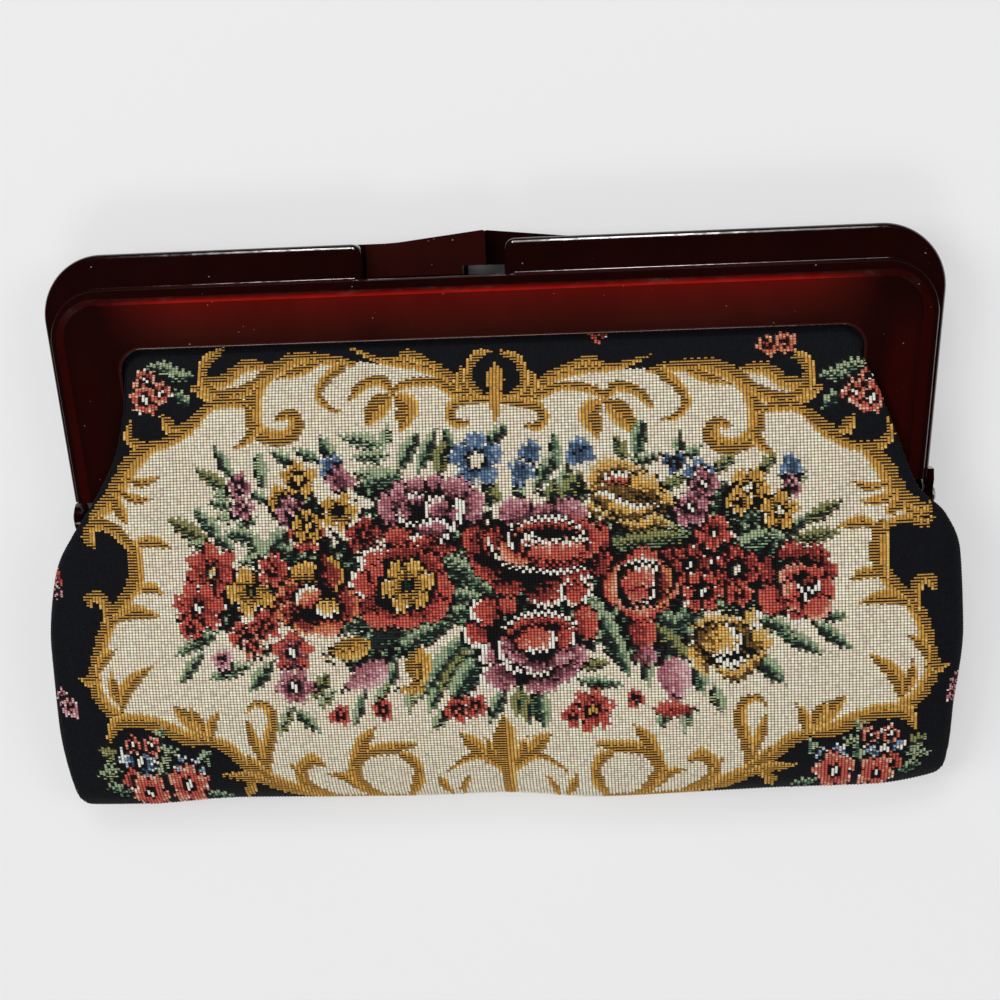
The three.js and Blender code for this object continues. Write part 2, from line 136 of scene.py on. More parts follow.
def sheet_points(rows, folded, u, v):
    """Points of a panel in millimetres: u across from the left edge, v down from the frame."""
    section = {name: through(rows[:, k], v) for k, name in enumerate(ROW_COLUMNS)}
    crown, shoulder = section["crown"], section["shoulder"]

    def half(widest, hem):
        arch = [(widest * out, crown + (shoulder - crown) * drop) for out, drop in ARCH]
        return arch + [
            (widest, shoulder),
            (widest + (hem - widest) * ROLL_SHARE, section["roll"]),
            (widest + (hem - widest) * RUN_SHARE, section["run"]),
            (hem, section["hem"]),
        ]

    right = half(section["right"], section["right_hem"])
    left = [(-x, z) for x, z in half(section["left"], section["left_hem"])]
    across = left[:0:-1] + right
    x = through(np.array([p[0] for p in across]), u)
    z = through(np.array([p[1] for p in across]), u)
    y = section["y"]
    if folded:
        reach = 1 - np.minimum(1, np.abs(2 * u - 1) / FOLD_ACROSS) ** 4
        down = np.minimum(1, v / FOLD_TOP) * np.minimum(1, (1 - v) / FOLD_BOTTOM)
        for fx, fy, heading, length, width, height in FOLDS:
            c, s = bearing(heading)
            along = (x - fx) * c + (y - fy) * s
            aside = (y - fy) * c - (x - fx) * s
            z = z + height * np.exp(-((along / length) ** 2) - (aside / width) ** 2) * reach * down
    near = np.clip(1 - (y - SEAM_Y) / SEAM_REACH, 0, 1)
    rise = through(SEAM_RISE, (1 + x / SEAM_HALF) / 2)
    return np.stack([x, y + near * near * (3 - 2 * near) * rise, z], -1)


# Stitch grid
STITCH_X = 1.07
PICK = 0.47
COLUMNS = 304
PICKS = 352
TOP_ARC = 63.0
# steps in which lengths along the cloth are measured, down and across
DOWN_STEPS = 800
ACROSS_STEPS = 400
# arc length along the middle of the panel, chart height
CHART_HEIGHTS = np.array([
    (-104, -91), (-99, -88.6), (-93.6, -86.8), (-83.3, -80.1), (-64.2, -64), (0, 0), (28.1, 28),
    (44.5, 44), (55.4, 54.2), (61.6, 60), (68, 66),
])


def cloth_grid(rows, folded):
    """Points at every half stitch and half pick, and which of them lie on the panel."""
    v = np.linspace(0, 1, DOWN_STEPS + 1)
    middle = sheet_points(rows, folded, np.full_like(v, 0.5), v)
    arc = np.concatenate([[0], np.cumsum(np.linalg.norm(np.diff(middle, axis=0), axis=1))])
    zero = np.interp(0, -middle[:, 1], arc)
    wanted = TOP_ARC - np.arange(2 * PICKS + 1) * PICK / 2
    line_v = np.interp(zero - wanted, arc, v)
    on_line = zero - wanted <= arc[-1]
    u = np.linspace(0, 1, ACROSS_STEPS + 1)
    uu, vv = np.meshgrid(u, line_v)
    fine = sheet_points(rows, folded, uu.ravel(), vv.ravel()).reshape(*uu.shape, 3)
    run = np.concatenate([
        np.zeros((len(line_v), 1)),
        np.cumsum(np.linalg.norm(np.diff(fine, axis=1), axis=2), axis=1),
    ], axis=1)
    run -= run[:, [ACROSS_STEPS // 2]]
    across = (np.arange(2 * COLUMNS + 1) - COLUMNS) * STITCH_X / 2
    place = np.array([np.interp(across, line, u) for line in run])
    inside = (across[None] >= run[:, :1]) & (across[None] <= run[:, -1:]) & on_line[:, None]
    full_v = np.repeat(line_v[:, None], len(across), 1)
    points = sheet_points(rows, folded, place.ravel(), full_v.ravel()).reshape(*place.shape, 3)
    # cells past the edge fold onto the seam line, where the two panels meet
    points[~inside, 2] -= SEAM_GAP / 2 if folded else -SEAM_GAP / 2
    return points, inside


# Stitch chart: drawn with strokes, leaves, petals and flowers, in millimetres of cloth
PALETTE = {
    "navy": (13, 15, 20), "cream": (242, 231, 207), "white": (230, 222, 204), "black": (20, 18, 20),
    "straw": (222, 190, 124), "honey": (208, 166, 92), "gold": (184, 138, 64), "bronze": (142, 102, 46),
    "ochre": (104, 74, 32), "salmon": (230, 158, 132), "coral": (198, 88, 68), "red": (194, 64, 53),
    "brick": (134, 40, 37), "blush": (228, 184, 186), "pink": (206, 144, 152), "mauve": (174, 102, 114),
    "plum": (100, 52, 62), "sky": (138, 162, 188), "blue": (84, 114, 148), "slate": (56, 76, 102),
    "sage": (164, 180, 142), "fern": (92, 124, 96), "pine": (32, 46, 40), "moss": (142, 142, 86),
    "olive": (100, 98, 54), "orange": (214, 122, 74), "amber": (220, 166, 70),
}
TONES = list(PALETTE)
CREAM, NAVY, WHITE = (TONES.index(name) for name in ("cream", "navy", "white"))
# each colour of wool with its light and its dark neighbour
LIGHTER = {
    "red": "coral", "coral": "salmon", "brick": "red", "mauve": "pink", "pink": "blush", "plum": "mauve",
    "gold": "honey", "honey": "straw", "straw": "white", "ochre": "bronze", "bronze": "gold",
    "blue": "sky", "slate": "blue", "sky": "white", "orange": "salmon", "amber": "straw",
}
DARKER = {
    "red": "brick", "coral": "red", "brick": "black", "mauve": "plum", "pink": "mauve", "plum": "black",
    "gold": "bronze", "honey": "gold", "straw": "amber", "ochre": "black", "bronze": "ochre",
    "blue": "slate", "slate": "black", "sky": "blue", "orange": "red", "amber": "ochre",
}
GROUND, BEAD, RIB, HATCH = range(4)

# how far neighbouring columns are out of step, and how far single stitches are, in scrolls and in petals
SCROLL_STEP, SCROLL_TEETH = 0.2, 0.15
PETAL_STEP, PETAL_TEETH = 0.25, 0.2


def per_stitch(low, high):
    """A random value for every stitch, the same on its two picks."""
    return np.repeat(dice.uniform(low, high, (PICKS // 2, COLUMNS)), 2, 0)


cell_x = (np.arange(COLUMNS) - COLUMNS / 2 + 0.5) * STITCH_X
cell_s = TOP_ARC - (np.arange(PICKS) + 0.5) * PICK
cell_y = np.interp(cell_s, CHART_HEIGHTS[:, 0], CHART_HEIGHTS[:, 1])
CX, CY = np.meshgrid(cell_x, cell_y)
out_of_step = np.where(np.arange(COLUMNS) % 2, 1, -1)[None]
CY += SCROLL_STEP * out_of_step
CY += per_stitch(-SCROLL_TEETH, SCROLL_TEETH)
TEETH = PETAL_STEP * out_of_step + per_stitch(-PETAL_TEETH, PETAL_TEETH)
FUZZ = per_stitch(-0.5, 0.5)
WAVE = np.sin(0.9 * CX + 1.7 * np.sin(0.6 * CY)) * np.cos(0.8 * CY + 1.3 * np.sin(0.5 * CX))
tone = np.full(CX.shape, NAVY)
kind = np.full(CX.shape, GROUND)


def window(x0, x1, y0, y1):
    """The block of cells that covers a box of the chart."""
    columns = np.searchsorted(cell_x, (x0, x1))
    lines = np.searchsorted(-cell_y, (-y1, -y0))
    return slice(max(0, lines[0] - 2), lines[1] + 2), slice(max(0, columns[0] - 1), columns[1] + 1)


def around(x, y, reach, teeth=1):
    """The block of cells within reach of a point, and their offsets from it."""
    block = window(x - reach, x + reach, y - reach, y + reach)
    return block, CX[block] - x, CY[block] + teeth * TEETH[block] - y


def wool(colour):
    """Gold thread and white edges lie in upright ribs, coloured wool in small beads."""
    return RIB if colour in ("gold", "honey", "white") else BEAD


def lay(block, mask, colour, stitch=None):
    """Works the masked cells of a block in one colour, in the stitch of its wool unless another is given."""
    tone[block][mask] = TONES.index(colour)
    kind[block][mask] = wool(colour) if stitch is None else stitch


def kind_of_shade(colour):
    """Gold goes over to rows on black in the shade, wool stays in beads."""
    return HATCH if wool(colour) == RIB else BEAD


def curve(points, count=90):
    """An even run of points on a smooth curve through the given ones."""
    p = np.array(points, float)
    if len(p) == 2:
        return p[0] + np.linspace(0, 1, count)[:, None] * (p[1] - p[0])
    ends = np.vstack([2 * p[0] - p[1], p, 2 * p[-1] - p[-2]])
    t = np.linspace(0, len(p) - 1 - 1e-9, count)
    i = t.astype(int)
    f = (t - i)[:, None]
    a, b, c, d = (ends[i + k] for k in range(4))
    return 0.5 * (2 * b + (c - a) * f + (2 * a - 5 * b + 4 * c - d) * f**2 + (3 * b - a - 3 * c + d) * f**3)


PROFILES = {
    "band": lambda t: np.minimum(1, 0.45 + 3 * np.minimum(t, 1 - t)),
    "tail": lambda t: np.clip(1 - t, 0, 1) ** 0.55,
    "horn": lambda t: np.clip(t, 0.02, 1) ** 0.5,
    "leaf": lambda t: np.sin(np.pi * np.clip(t, 0.03, 0.97)) ** 0.75,
    "drop": lambda t: np.minimum(1, 4 * t) ** 0.5 * np.minimum(1, 1.9 * (1 - t) + 0.08),
}


# no stroke is thinner than this half width, and leaves and tulips spread past their outline by the margin
THINNEST = 0.45
MARGIN = 0.2


def stroke(points, half_width, shape, teeth=1):
    """Cells under a stroke: block, mask, place along it, and side from -1 on the right to 1 on the left."""
    path = curve(points)
    reach = half_width + 1
    low, high = path.min(0) - reach, path.max(0) + reach
    block = window(low[0], high[0], low[1], high[1])
    gx, gy = CX[block], CY[block] + teeth * TEETH[block]
    dx, dy = gx[..., None] - path[:, 0], gy[..., None] - path[:, 1]
    near = np.argmin(dx * dx + dy * dy, -1)
    t = near / (len(path) - 1)
    ox, oy = gx - path[near, 0], gy - path[near, 1]
    way = np.gradient(path, axis=0)[near]
    width = np.maximum(half_width * PROFILES[shape](t), THINNEST)
    speed = np.maximum(np.hypot(way[..., 0], way[..., 1]), 1e-6)
    side = (way[..., 0] * oy - way[..., 1] * ox) / speed / width
    return block, np.hypot(ox, oy) < width, t, side


def spine(x, y, heading, length):
    """Three points along a leaf or a tulip with its middle at x, y."""
    c, s = bearing(heading)
    half = length / 2
    return [(x - c * half, y - s * half), (x, y), (x + c * half, y + s * half)]


# In the drawing functions a factor on fuzz is how ragged an edge of colour is, and the limit beside it
# is where that edge lies across the figure.
def gold(shape, half_width, light, points):
    """A scroll of gold thread: ribs on its light side, rows on black on its shaded side."""
    block, mask, _, side = stroke(points, half_width, shape, 0)
    bright = (side * light + 0.25 * FUZZ[block] > 0.05) | (light == 0)
    lay(block, mask & bright, "gold", RIB)
    lay(block, mask & ~bright, "gold", HATCH)
    lay(block, mask & (side * light > 0.72), "honey", RIB)


def leaf(x, y, heading, length, width, light, dark):
    """A leaf with a light upper half, a shaded lower half and, if it is wide, a dark midrib."""
    block, mask, t, side = stroke(spine(x, y, heading, length), width / 2 + MARGIN, "leaf")
    fuzz = FUZZ[block]
    up = side if bearing(heading)[0] >= 0 else -side
    lay(block, mask, light, BEAD)
    lay(block, mask & (up + 0.6 * fuzz > 0.3), "sage" if light == "fern" else light, BEAD)
    lay(block, mask & (up + 0.3 * fuzz < -0.1), dark, HATCH)
    lay(block, mask & (up < -0.1) & (fuzz > 0.1), light, HATCH)
    lay(block, mask & (up + 0.3 * fuzz < -0.85), "black", HATCH)
    lay(block, mask & (np.abs(up + 0.1) < 0.16) & (t < 0.8) & (width > 3.4), "pine", HATCH)


def thicket(x, y, rx, ry, turn):
    """Dark leaves in shade, without a shape of their own."""
    c, s = bearing(turn)
    block, gx, gy = around(x, y, max(rx, ry) + 2, 0)
    u, v = gx * c + gy * s, gy * c - gx * s
    mask = np.hypot(u / rx, v / ry) * (1 + 0.2 * WAVE[block]) < 1
    blades = np.sin(1.5 * gx - 0.9 * gy) + 0.8 * WAVE[block] + FUZZ[block]
    lay(block, mask, "black", BEAD)
    lay(block, mask & (blades > 0.1), "pine", HATCH)
    lay(block, mask & (blades > 0.6), "fern", HATCH)
    lay(block, mask & (blades > 1.2), "sage", BEAD)


def contour(block, mask):
    """A dark edge, only where the flower lies over other flowers and leaves."""
    ground = np.isin(tone[block], [CREAM, NAVY])
    lay(block, mask & ~ground, "black", BEAD)


def shade(block, mask, rise, colour, dark):
    """The low side of a petal: gold goes over to rows on black, wool to its darker neighbour."""
    fuzz = FUZZ[block]
    if wool(colour) == RIB:
        lay(block, mask & (rise + 0.25 * fuzz < -0.3), colour, HATCH)
        lay(block, mask & (rise + 0.25 * fuzz < -0.62), dark, HATCH)
    else:
        lay(block, mask & (rise + 0.7 * fuzz < -0.35), dark, BEAD)
        lay(block, mask & (rise + 0.5 * fuzz < -1), "black", BEAD)


def petal(x, y, rx, ry, turn, colour, rim=None, rim_side=90):
    """An oval petal, light towards its rim side and dark away from it; rim_side is in degrees."""
    c, s = bearing(turn)
    block, gx, gy = around(x, y, max(rx, ry) + 2)
    fuzz = FUZZ[block]
    u, v = gx * c + gy * s, gy * c - gx * s
    ripple = 1 + 0.09 * WAVE[block]
    edge = np.hypot(u / rx, v / ry) * ripple
    contour(block, np.hypot(u / (rx + 0.6), v / (ry + 0.6)) * ripple < 1)
    mask = edge < 1
    lay(block, mask, colour)
    if colour == "black":
        return
    away = math.radians(rim_side)
    lean = away - math.radians(turn)
    extent = math.hypot(rx * math.cos(lean), ry * math.sin(lean))
    rise = (gx * math.cos(away) + gy * math.sin(away)) / extent
    grade = rise + 0.7 * fuzz
    light, dark = LIGHTER[colour], DARKER[colour]
    lay(block, mask & (grade > 0.5), light)
    shade(block, mask, rise, colour, dark)
    if rim:
        deep = (1 - edge) * min(rx, ry)
        lay(block, mask & (rise > 0.08) & (deep < 1.3 + 0.9 * fuzz), rim)


def fold(half_width, colour, rim, rim_side, points):
    """A curled petal edge seen from above, drawn as a crescent; rim_side 1 is the left of its path."""
    outer, wide, _, _ = stroke(points, half_width + 0.55, "leaf")
    contour(outer, wide)
    block, mask, _, side = stroke(points, half_width, "leaf")
    fuzz = FUZZ[block]
    rise = side * rim_side
    lay(block, mask, colour)
    if colour in ("white", "black"):
        return
    light, dark = LIGHTER[colour], DARKER[colour]
    lay(block, mask & (rise + 0.8 * fuzz > 0.45), light)
    shade(block, mask, rise, colour, dark)
    if rim:
        deep = (1 - rise) * half_width
        lay(block, mask & (deep < 1.35 + 0.9 * fuzz), rim)


def flower(x, y, radius, petals, turn, colour, dark, centre, centre_radius, fleck="white"):
    """A small open flower seen from above, with flecks of a light tone at its edge."""
    block, gx, gy = around(x, y, radius + 2)
    fuzz = FUZZ[block]
    r = np.hypot(gx, gy)
    angle = np.arctan2(gy, gx) - math.radians(turn)
    lobe = np.abs(np.cos(petals * angle / 2))
    outline = radius * (0.62 + 0.38 * lobe**0.7) * (1 + 0.06 * WAVE[block])
    contour(block, r < outline + 1)
    mask = r < outline
    out = r / outline
    lay(block, mask, colour)
    lay(block, mask & (out + 0.6 * fuzz > 0.86), LIGHTER[colour])
    inner, between = mask & (out + 0.3 * fuzz < 0.5), mask & (lobe + 0.3 * fuzz < 0.34) & (out > 0.25)
    if wool(colour) == RIB:
        lay(block, inner, colour, HATCH)
        lay(block, between, dark, HATCH)
    else:
        lay(block, inner | between, dark, BEAD)
    if centre != dark:
        lay(block, mask & (r < centre_radius + 1), "black", BEAD)
    lay(block, mask & (out > 0.84) & (fuzz > 0.36), fleck)
    lay(block, r < centre_radius, centre)


def tulip(x, y, heading, length, width, colour, dark):
    """A closed flower seen from the side, dark at its tip."""
    block, mask, t, side = stroke(spine(x, y, heading, length), width / 2 + MARGIN, "drop")
    fuzz = FUZZ[block]
    lay(block, mask, colour)
    lay(block, mask & (side + 0.5 * fuzz > 0.5), LIGHTER[colour])
    low_side = dark if wool(colour) == BEAD else colour
    lay(block, mask & (side + 0.4 * fuzz < -0.3), low_side, kind_of_shade(colour))
    lay(block, mask & (np.abs(side - 0.1) < 0.13) & (t > 0.3), dark, kind_of_shade(colour))
    lay(block, mask & (t + 0.2 * fuzz > 0.86), "black", HATCH)


# Half of the gold border, drawn on the left: shape, half width, light side, points.
BORDER = (
    ("band", 2.6, 1, ((-43, 52.5), (-50, 54), (-60, 54.8), (-67, 52), (-72.5, 47), (-74.5, 40), (-74.5, 35),
        (-71.5, 31), (-66, 29.6), (-61.5, 31.5), (-60.8, 35), (-63, 37), (-66, 36))),
    ("tail", 2.0, 1, ((-74, 33), (-77, 29), (-81, 27))),
    ("leaf", 1.7, -1, ((-67, 48.5), (-59, 51), (-53, 53))),
    ("horn", 2.0, 1, ((-46, 37.5), (-50, 38.5), (-53.5, 43), (-51, 48), (-46.5, 52))),
    ("horn", 2.6, -1, ((-43, 57.5), (-34, 53.5), (-22, 51.5), (-14, 48.5), (-9, 42))),
    ("leaf", 1.8, -1, ((-30, 53.5), (-24, 54.5), (-15, 50))),
    ("band", 1.5, -1, ((-30, 43), (-25, 45.5), (-16, 45.5), (-9, 41))),
    ("band", 1.7, -1, ((-43, 41.5), (-39, 45.5), (-33, 46.8), (-30, 43))),
    ("leaf", 3.6, 1, ((-29.5, 42), (-34, 38.5), (-38, 33))),
    ("leaf", 3.6, 1, ((-29, 42), (-25, 38), (-27.5, 30.5))),
    ("band", 2.2, 1, ((-71, 53), (-78, 53), (-84, 48.5), (-90, 48.5))),
    ("band", 2.2, 1, ((-73, 48), (-79, 44.3), (-87, 43.5), (-94.5, 46.5))),
    ("band", 2.0, 1, ((-86, 43.5), (-90, 46.5), (-91.5, 51.5), (-90, 55.5), (-85.5, 58.5))),
    ("band", 1.7, 1, ((-74, 40), (-83, 41.3), (-89, 40), (-94, 36), (-100, 33))),
    ("leaf", 2.3, 1, ((-100, 33), (-102.5, 34.5), (-105, 38))),
    ("band", 1.7, 1, ((-90, 38), (-96, 33), (-104, 29), (-111, 28.3), (-115.6, 31), (-115, 36))),
    ("band", 3.1, 1, ((-108, 28), (-114.5, 23.5), (-119, 17), (-123, 11), (-129.5, 6))),
    ("leaf", 1.4, 1, ((-118, 19), (-112, 16.8), (-106, 18.5))),
    ("leaf", 1.5, 1, ((-120, 15), (-114.5, 11.8), (-109, 11.5))),
    ("leaf", 2.2, 1, ((-121, 14), (-119.5, 9), (-117, 4))),
    ("band", 2.4, 1, ((-116, -2), (-116, -8), (-116, -14), (-118.5, -20), (-123.5, -26), (-127, -32),
        (-129.5, -39), (-132, -47), (-131, -53), (-127, -59), (-120, -61.5), (-111, -62.5))),
    ("leaf", 2.0, 1, ((-116, -4), (-110, -1.8), (-103, -4))),
    ("leaf", 2.0, 1, ((-118, -18.5), (-111, -17), (-106.5, -19))),
    ("leaf", 2.4, 1, ((-125, -28), (-117, -25), (-108.5, -26.5))),
    ("band", 2.0, -1, ((-132, -22.8), (-131, -20), (-127.8, -20), (-125.8, -24), (-125.5, -30))),
    ("leaf", 2.0, 1, ((-131, -46), (-128.5, -41), (-124, -37.5))),
    ("leaf", 1.6, 1, ((-130, -48), (-134, -48), (-137.5, -46.8))),
    ("leaf", 2.6, 1, ((-124, -59), (-121, -50), (-112, -43))),
    ("leaf", 1.8, 1, ((-124, -57), (-126, -51), (-125.5, -45))),
    ("band", 2.5, 1, ((-129, -67.5), (-126, -62.8), (-118, -61.8), (-109, -64.5), (-103, -67.5),
        (-94, -68.5))),
    ("band", 2.3, 1, ((-97, -68), (-90, -70.5), (-85, -75.5), (-78, -81), (-70, -84.5), (-58, -87.5))),
    ("leaf", 2.8, 1, ((-94, -69), (-101, -62), (-106, -56.5))),
    ("leaf", 2.2, 1, ((-96, -67), (-98.5, -62), (-100, -58))),
    ("leaf", 1.9, 1, ((-95, -69), (-94, -63.5), (-91, -58.5))),
    ("horn", 2.5, -1, ((-81.5, -59), (-78.5, -56), (-74.5, -57.5), (-73.5, -63), (-76, -70), (-79, -79))),
    ("leaf", 1.8, 1, ((-81.5, -62), (-80.5, -68), (-78, -77))),
    ("leaf", 1.7, 1, ((-83.5, -73), (-81, -77), (-76, -81))),
    ("leaf", 1.7, 1, ((-93, -80), (-84, -80.5), (-76, -83))),
    ("leaf", 2.0, 1, ((-82, -81.5), (-84.5, -84.5), (-86, -87))),
    ("band", 2.2, -1, ((-58.5, -76.5), (-62.5, -75), (-66.5, -79), (-65, -84), (-57, -87.5))),
    ("leaf", 1.2, 1, ((-69, -76.5), (-67, -80), (-65, -84))),
    ("band", 2.0, -1, ((-28, -70.5), (-36, -71.5), (-44, -73), (-48.5, -79), (-45, -85.5), (-40, -88))),
    ("band", 1.9, 1, ((-33, -73), (-28.5, -76), (-27.5, -81), (-31, -87.5))),
    ("leaf", 2.2, -1, ((-40, -65), (-45, -70), (-51, -80))),
    ("leaf", 1.4, 1, ((-57, -80), (-52, -81), (-47, -86))),
    ("leaf", 2.6, 1, ((-12.5, -67.5), (-8, -71), (-1, -79))),
    ("leaf", 1.6, 1, ((-4.5, -68.5), (-2.5, -73), (0, -78))),
    ("horn", 1.7, -1, ((-17.5, -79.5), (-11.5, -75.5), (-5, -75), (1, -79.5))),
    ("leaf", 1.5, 1, ((-20.5, -81), (-19.5, -84), (-17, -88))),
    ("leaf", 1.2, 1, ((-11, -81.5), (-13, -84.5), (-14, -88))),
    ("band", 0.9, 1, ((-62, -88), (-45, -88.2), (-30, -88))),
    ("band", 1.6, -1, ((1, 55), (-3.6, 53.4), (-5.8, 48), (-4.6, 43.5), (0, 40))),
    ("leaf", 1.6, -1, ((-8, 50), (-8.5, 45), (-5, 41.5))),
    ("band", 1.5, -1, ((-9, 42), (-3, 40), (3.5, 40.3))),
    ("band", 1.6, -1, ((1, 39.5), (-4, 39.7), (-9.5, 39), (-11.6, 35.6), (-9.5, 32.8), (-6, 32.6))),
)
# Parts of the border without a twin, by the hinges and in the middle: shape, half width, light side, points.
SINGLE = (
    ("band", 2.7, 1, ((-115, -3), (-114.6, -9), (-114.9, -15), (-117.5, -19.5))),
    ("band", 2.8, -1, ((122.5, -19), (121, -14), (121, -9), (121.4, -4.5), (122, -2))),
    ("band", 2.2, -1, ((-129, -3.5), (-131, 0.5), (-127.5, 3.8), (-121, 1.5), (-116, -5))),
    ("band", 1.4, 1, ((122.2, -5), (124.4, -2.5), (127.6, -1.2), (132, -1.5), (135.6, -2.8), (138, -1.2))),
    ("band", 1.3, 1, ((129.4, 3.4), (131.5, 1.4), (134, 0.3), (136.5, 1.2), (137.4, 3.4))),
    ("leaf", 3, 0, ((2.9, 51), (2.9, 46), (2.9, 40))), ("tail", 2.2, 0, ((3, 40.5), (3, 37), (2.8, 33))),
    ("leaf", 3.9, 1, ((2, -62), (2, -70), (2, -80))), ("band", 2.4, 1, ((2, -77), (2, -83), (2, -88.5))),
)
# The cream field's edge on the left, from the top middle down to the bottom seam.
FIELD = (
    (3, 40), (-9, 41), (-14, 46), (-22, 50), (-40, 53), (-52, 54), (-62, 54), (-70, 52), (-80, 51),
    (-85, 46), (-88, 41), (-96, 34), (-108, 28), (-114, 23), (-119, 16), (-124, 9), (-126, 4), (-120, 0),
    (-115, -6), (-115, -14), (-118, -20), (-123, -26), (-127, -34), (-130, -44), (-131, -52), (-127, -59),
    (-118, -61.5), (-108, -64), (-97, -68), (-89, -71), (-84, -77), (-76, -82), (-66, -86), (-56, -88),
    (-50, -92),
)


# The cloth lies askew, so the right half is not quite a mirror of the left: y, shift across, shift up.
ASKEW = np.array([
    (-90, -3, 0.6), (-62, -1.2, -1), (-48, 0.6, -1), (-30, 2.1, -0.4), (-18, 0.6, -0.6), (-10, 0, -0.4),
    (-4, 0.2, 0.8), (0, 0.6, -0.6), (6, 1.4, -4.4), (11, 1.4, -6.8), (17, 1.8, -8), (23, 2.4, -7.4),
    (30, 4, -6.6), (60, 4, -6.6),
])
ASKEW_REACH = 60
ASKEW_POWER = 0.8
# the chart's middle line: x at the foot, its lean to the right on the way up, height of the foot
MIDDLE_X = 2.2
MIDDLE_LEAN = 0.004
CHART_FOOT = -88


def twin(points):
    """The right-hand copy of points drawn on the left."""
    x, y = np.array(points, float).T
    middle = MIDDLE_X + (y - CHART_FOOT) * MIDDLE_LEAN
    apart = middle - x
    share = np.clip(apart / ASKEW_REACH, 0, 1) ** ASKEW_POWER
    across, up = (np.interp(y, ASKEW[:, 0], ASKEW[:, k]) for k in (1, 2))
    return np.stack([middle + apart + across * share, y + up * share], 1)


def field():
    """The cream field inside the scrolls."""
    left = curve(FIELD, 400)
    outline = np.vstack([left, twin(left)[::-1]])
    x0, y0 = outline[:, 0], outline[:, 1]
    x1, y1 = np.roll(x0, -1), np.roll(y0, -1)
    inside = np.zeros(CX.shape, bool)
    for a, b, c, d in zip(x0, y0, x1, y1):
        if b != d:
            crosses = (b > CY) != (d > CY)
            inside ^= crosses & (CX < (c - a) * (CY - b) / (d - b) + a)
    lay((slice(None), slice(None)), inside, "cream", BEAD)


# pairs of tones that many leaves and flowers have: tone, dark tone
DEEP = ("fern", "pine")
PALE = ("sage", "fern")
SOFT = ("sage", "moss")
MOSSY = ("moss", "fern")
RED = ("red", "brick")
CORAL = ("coral", "red")
MAUVE = ("mauve", "plum")
GOLD = ("gold", "bronze")
BLUE = ("blue", "slate")
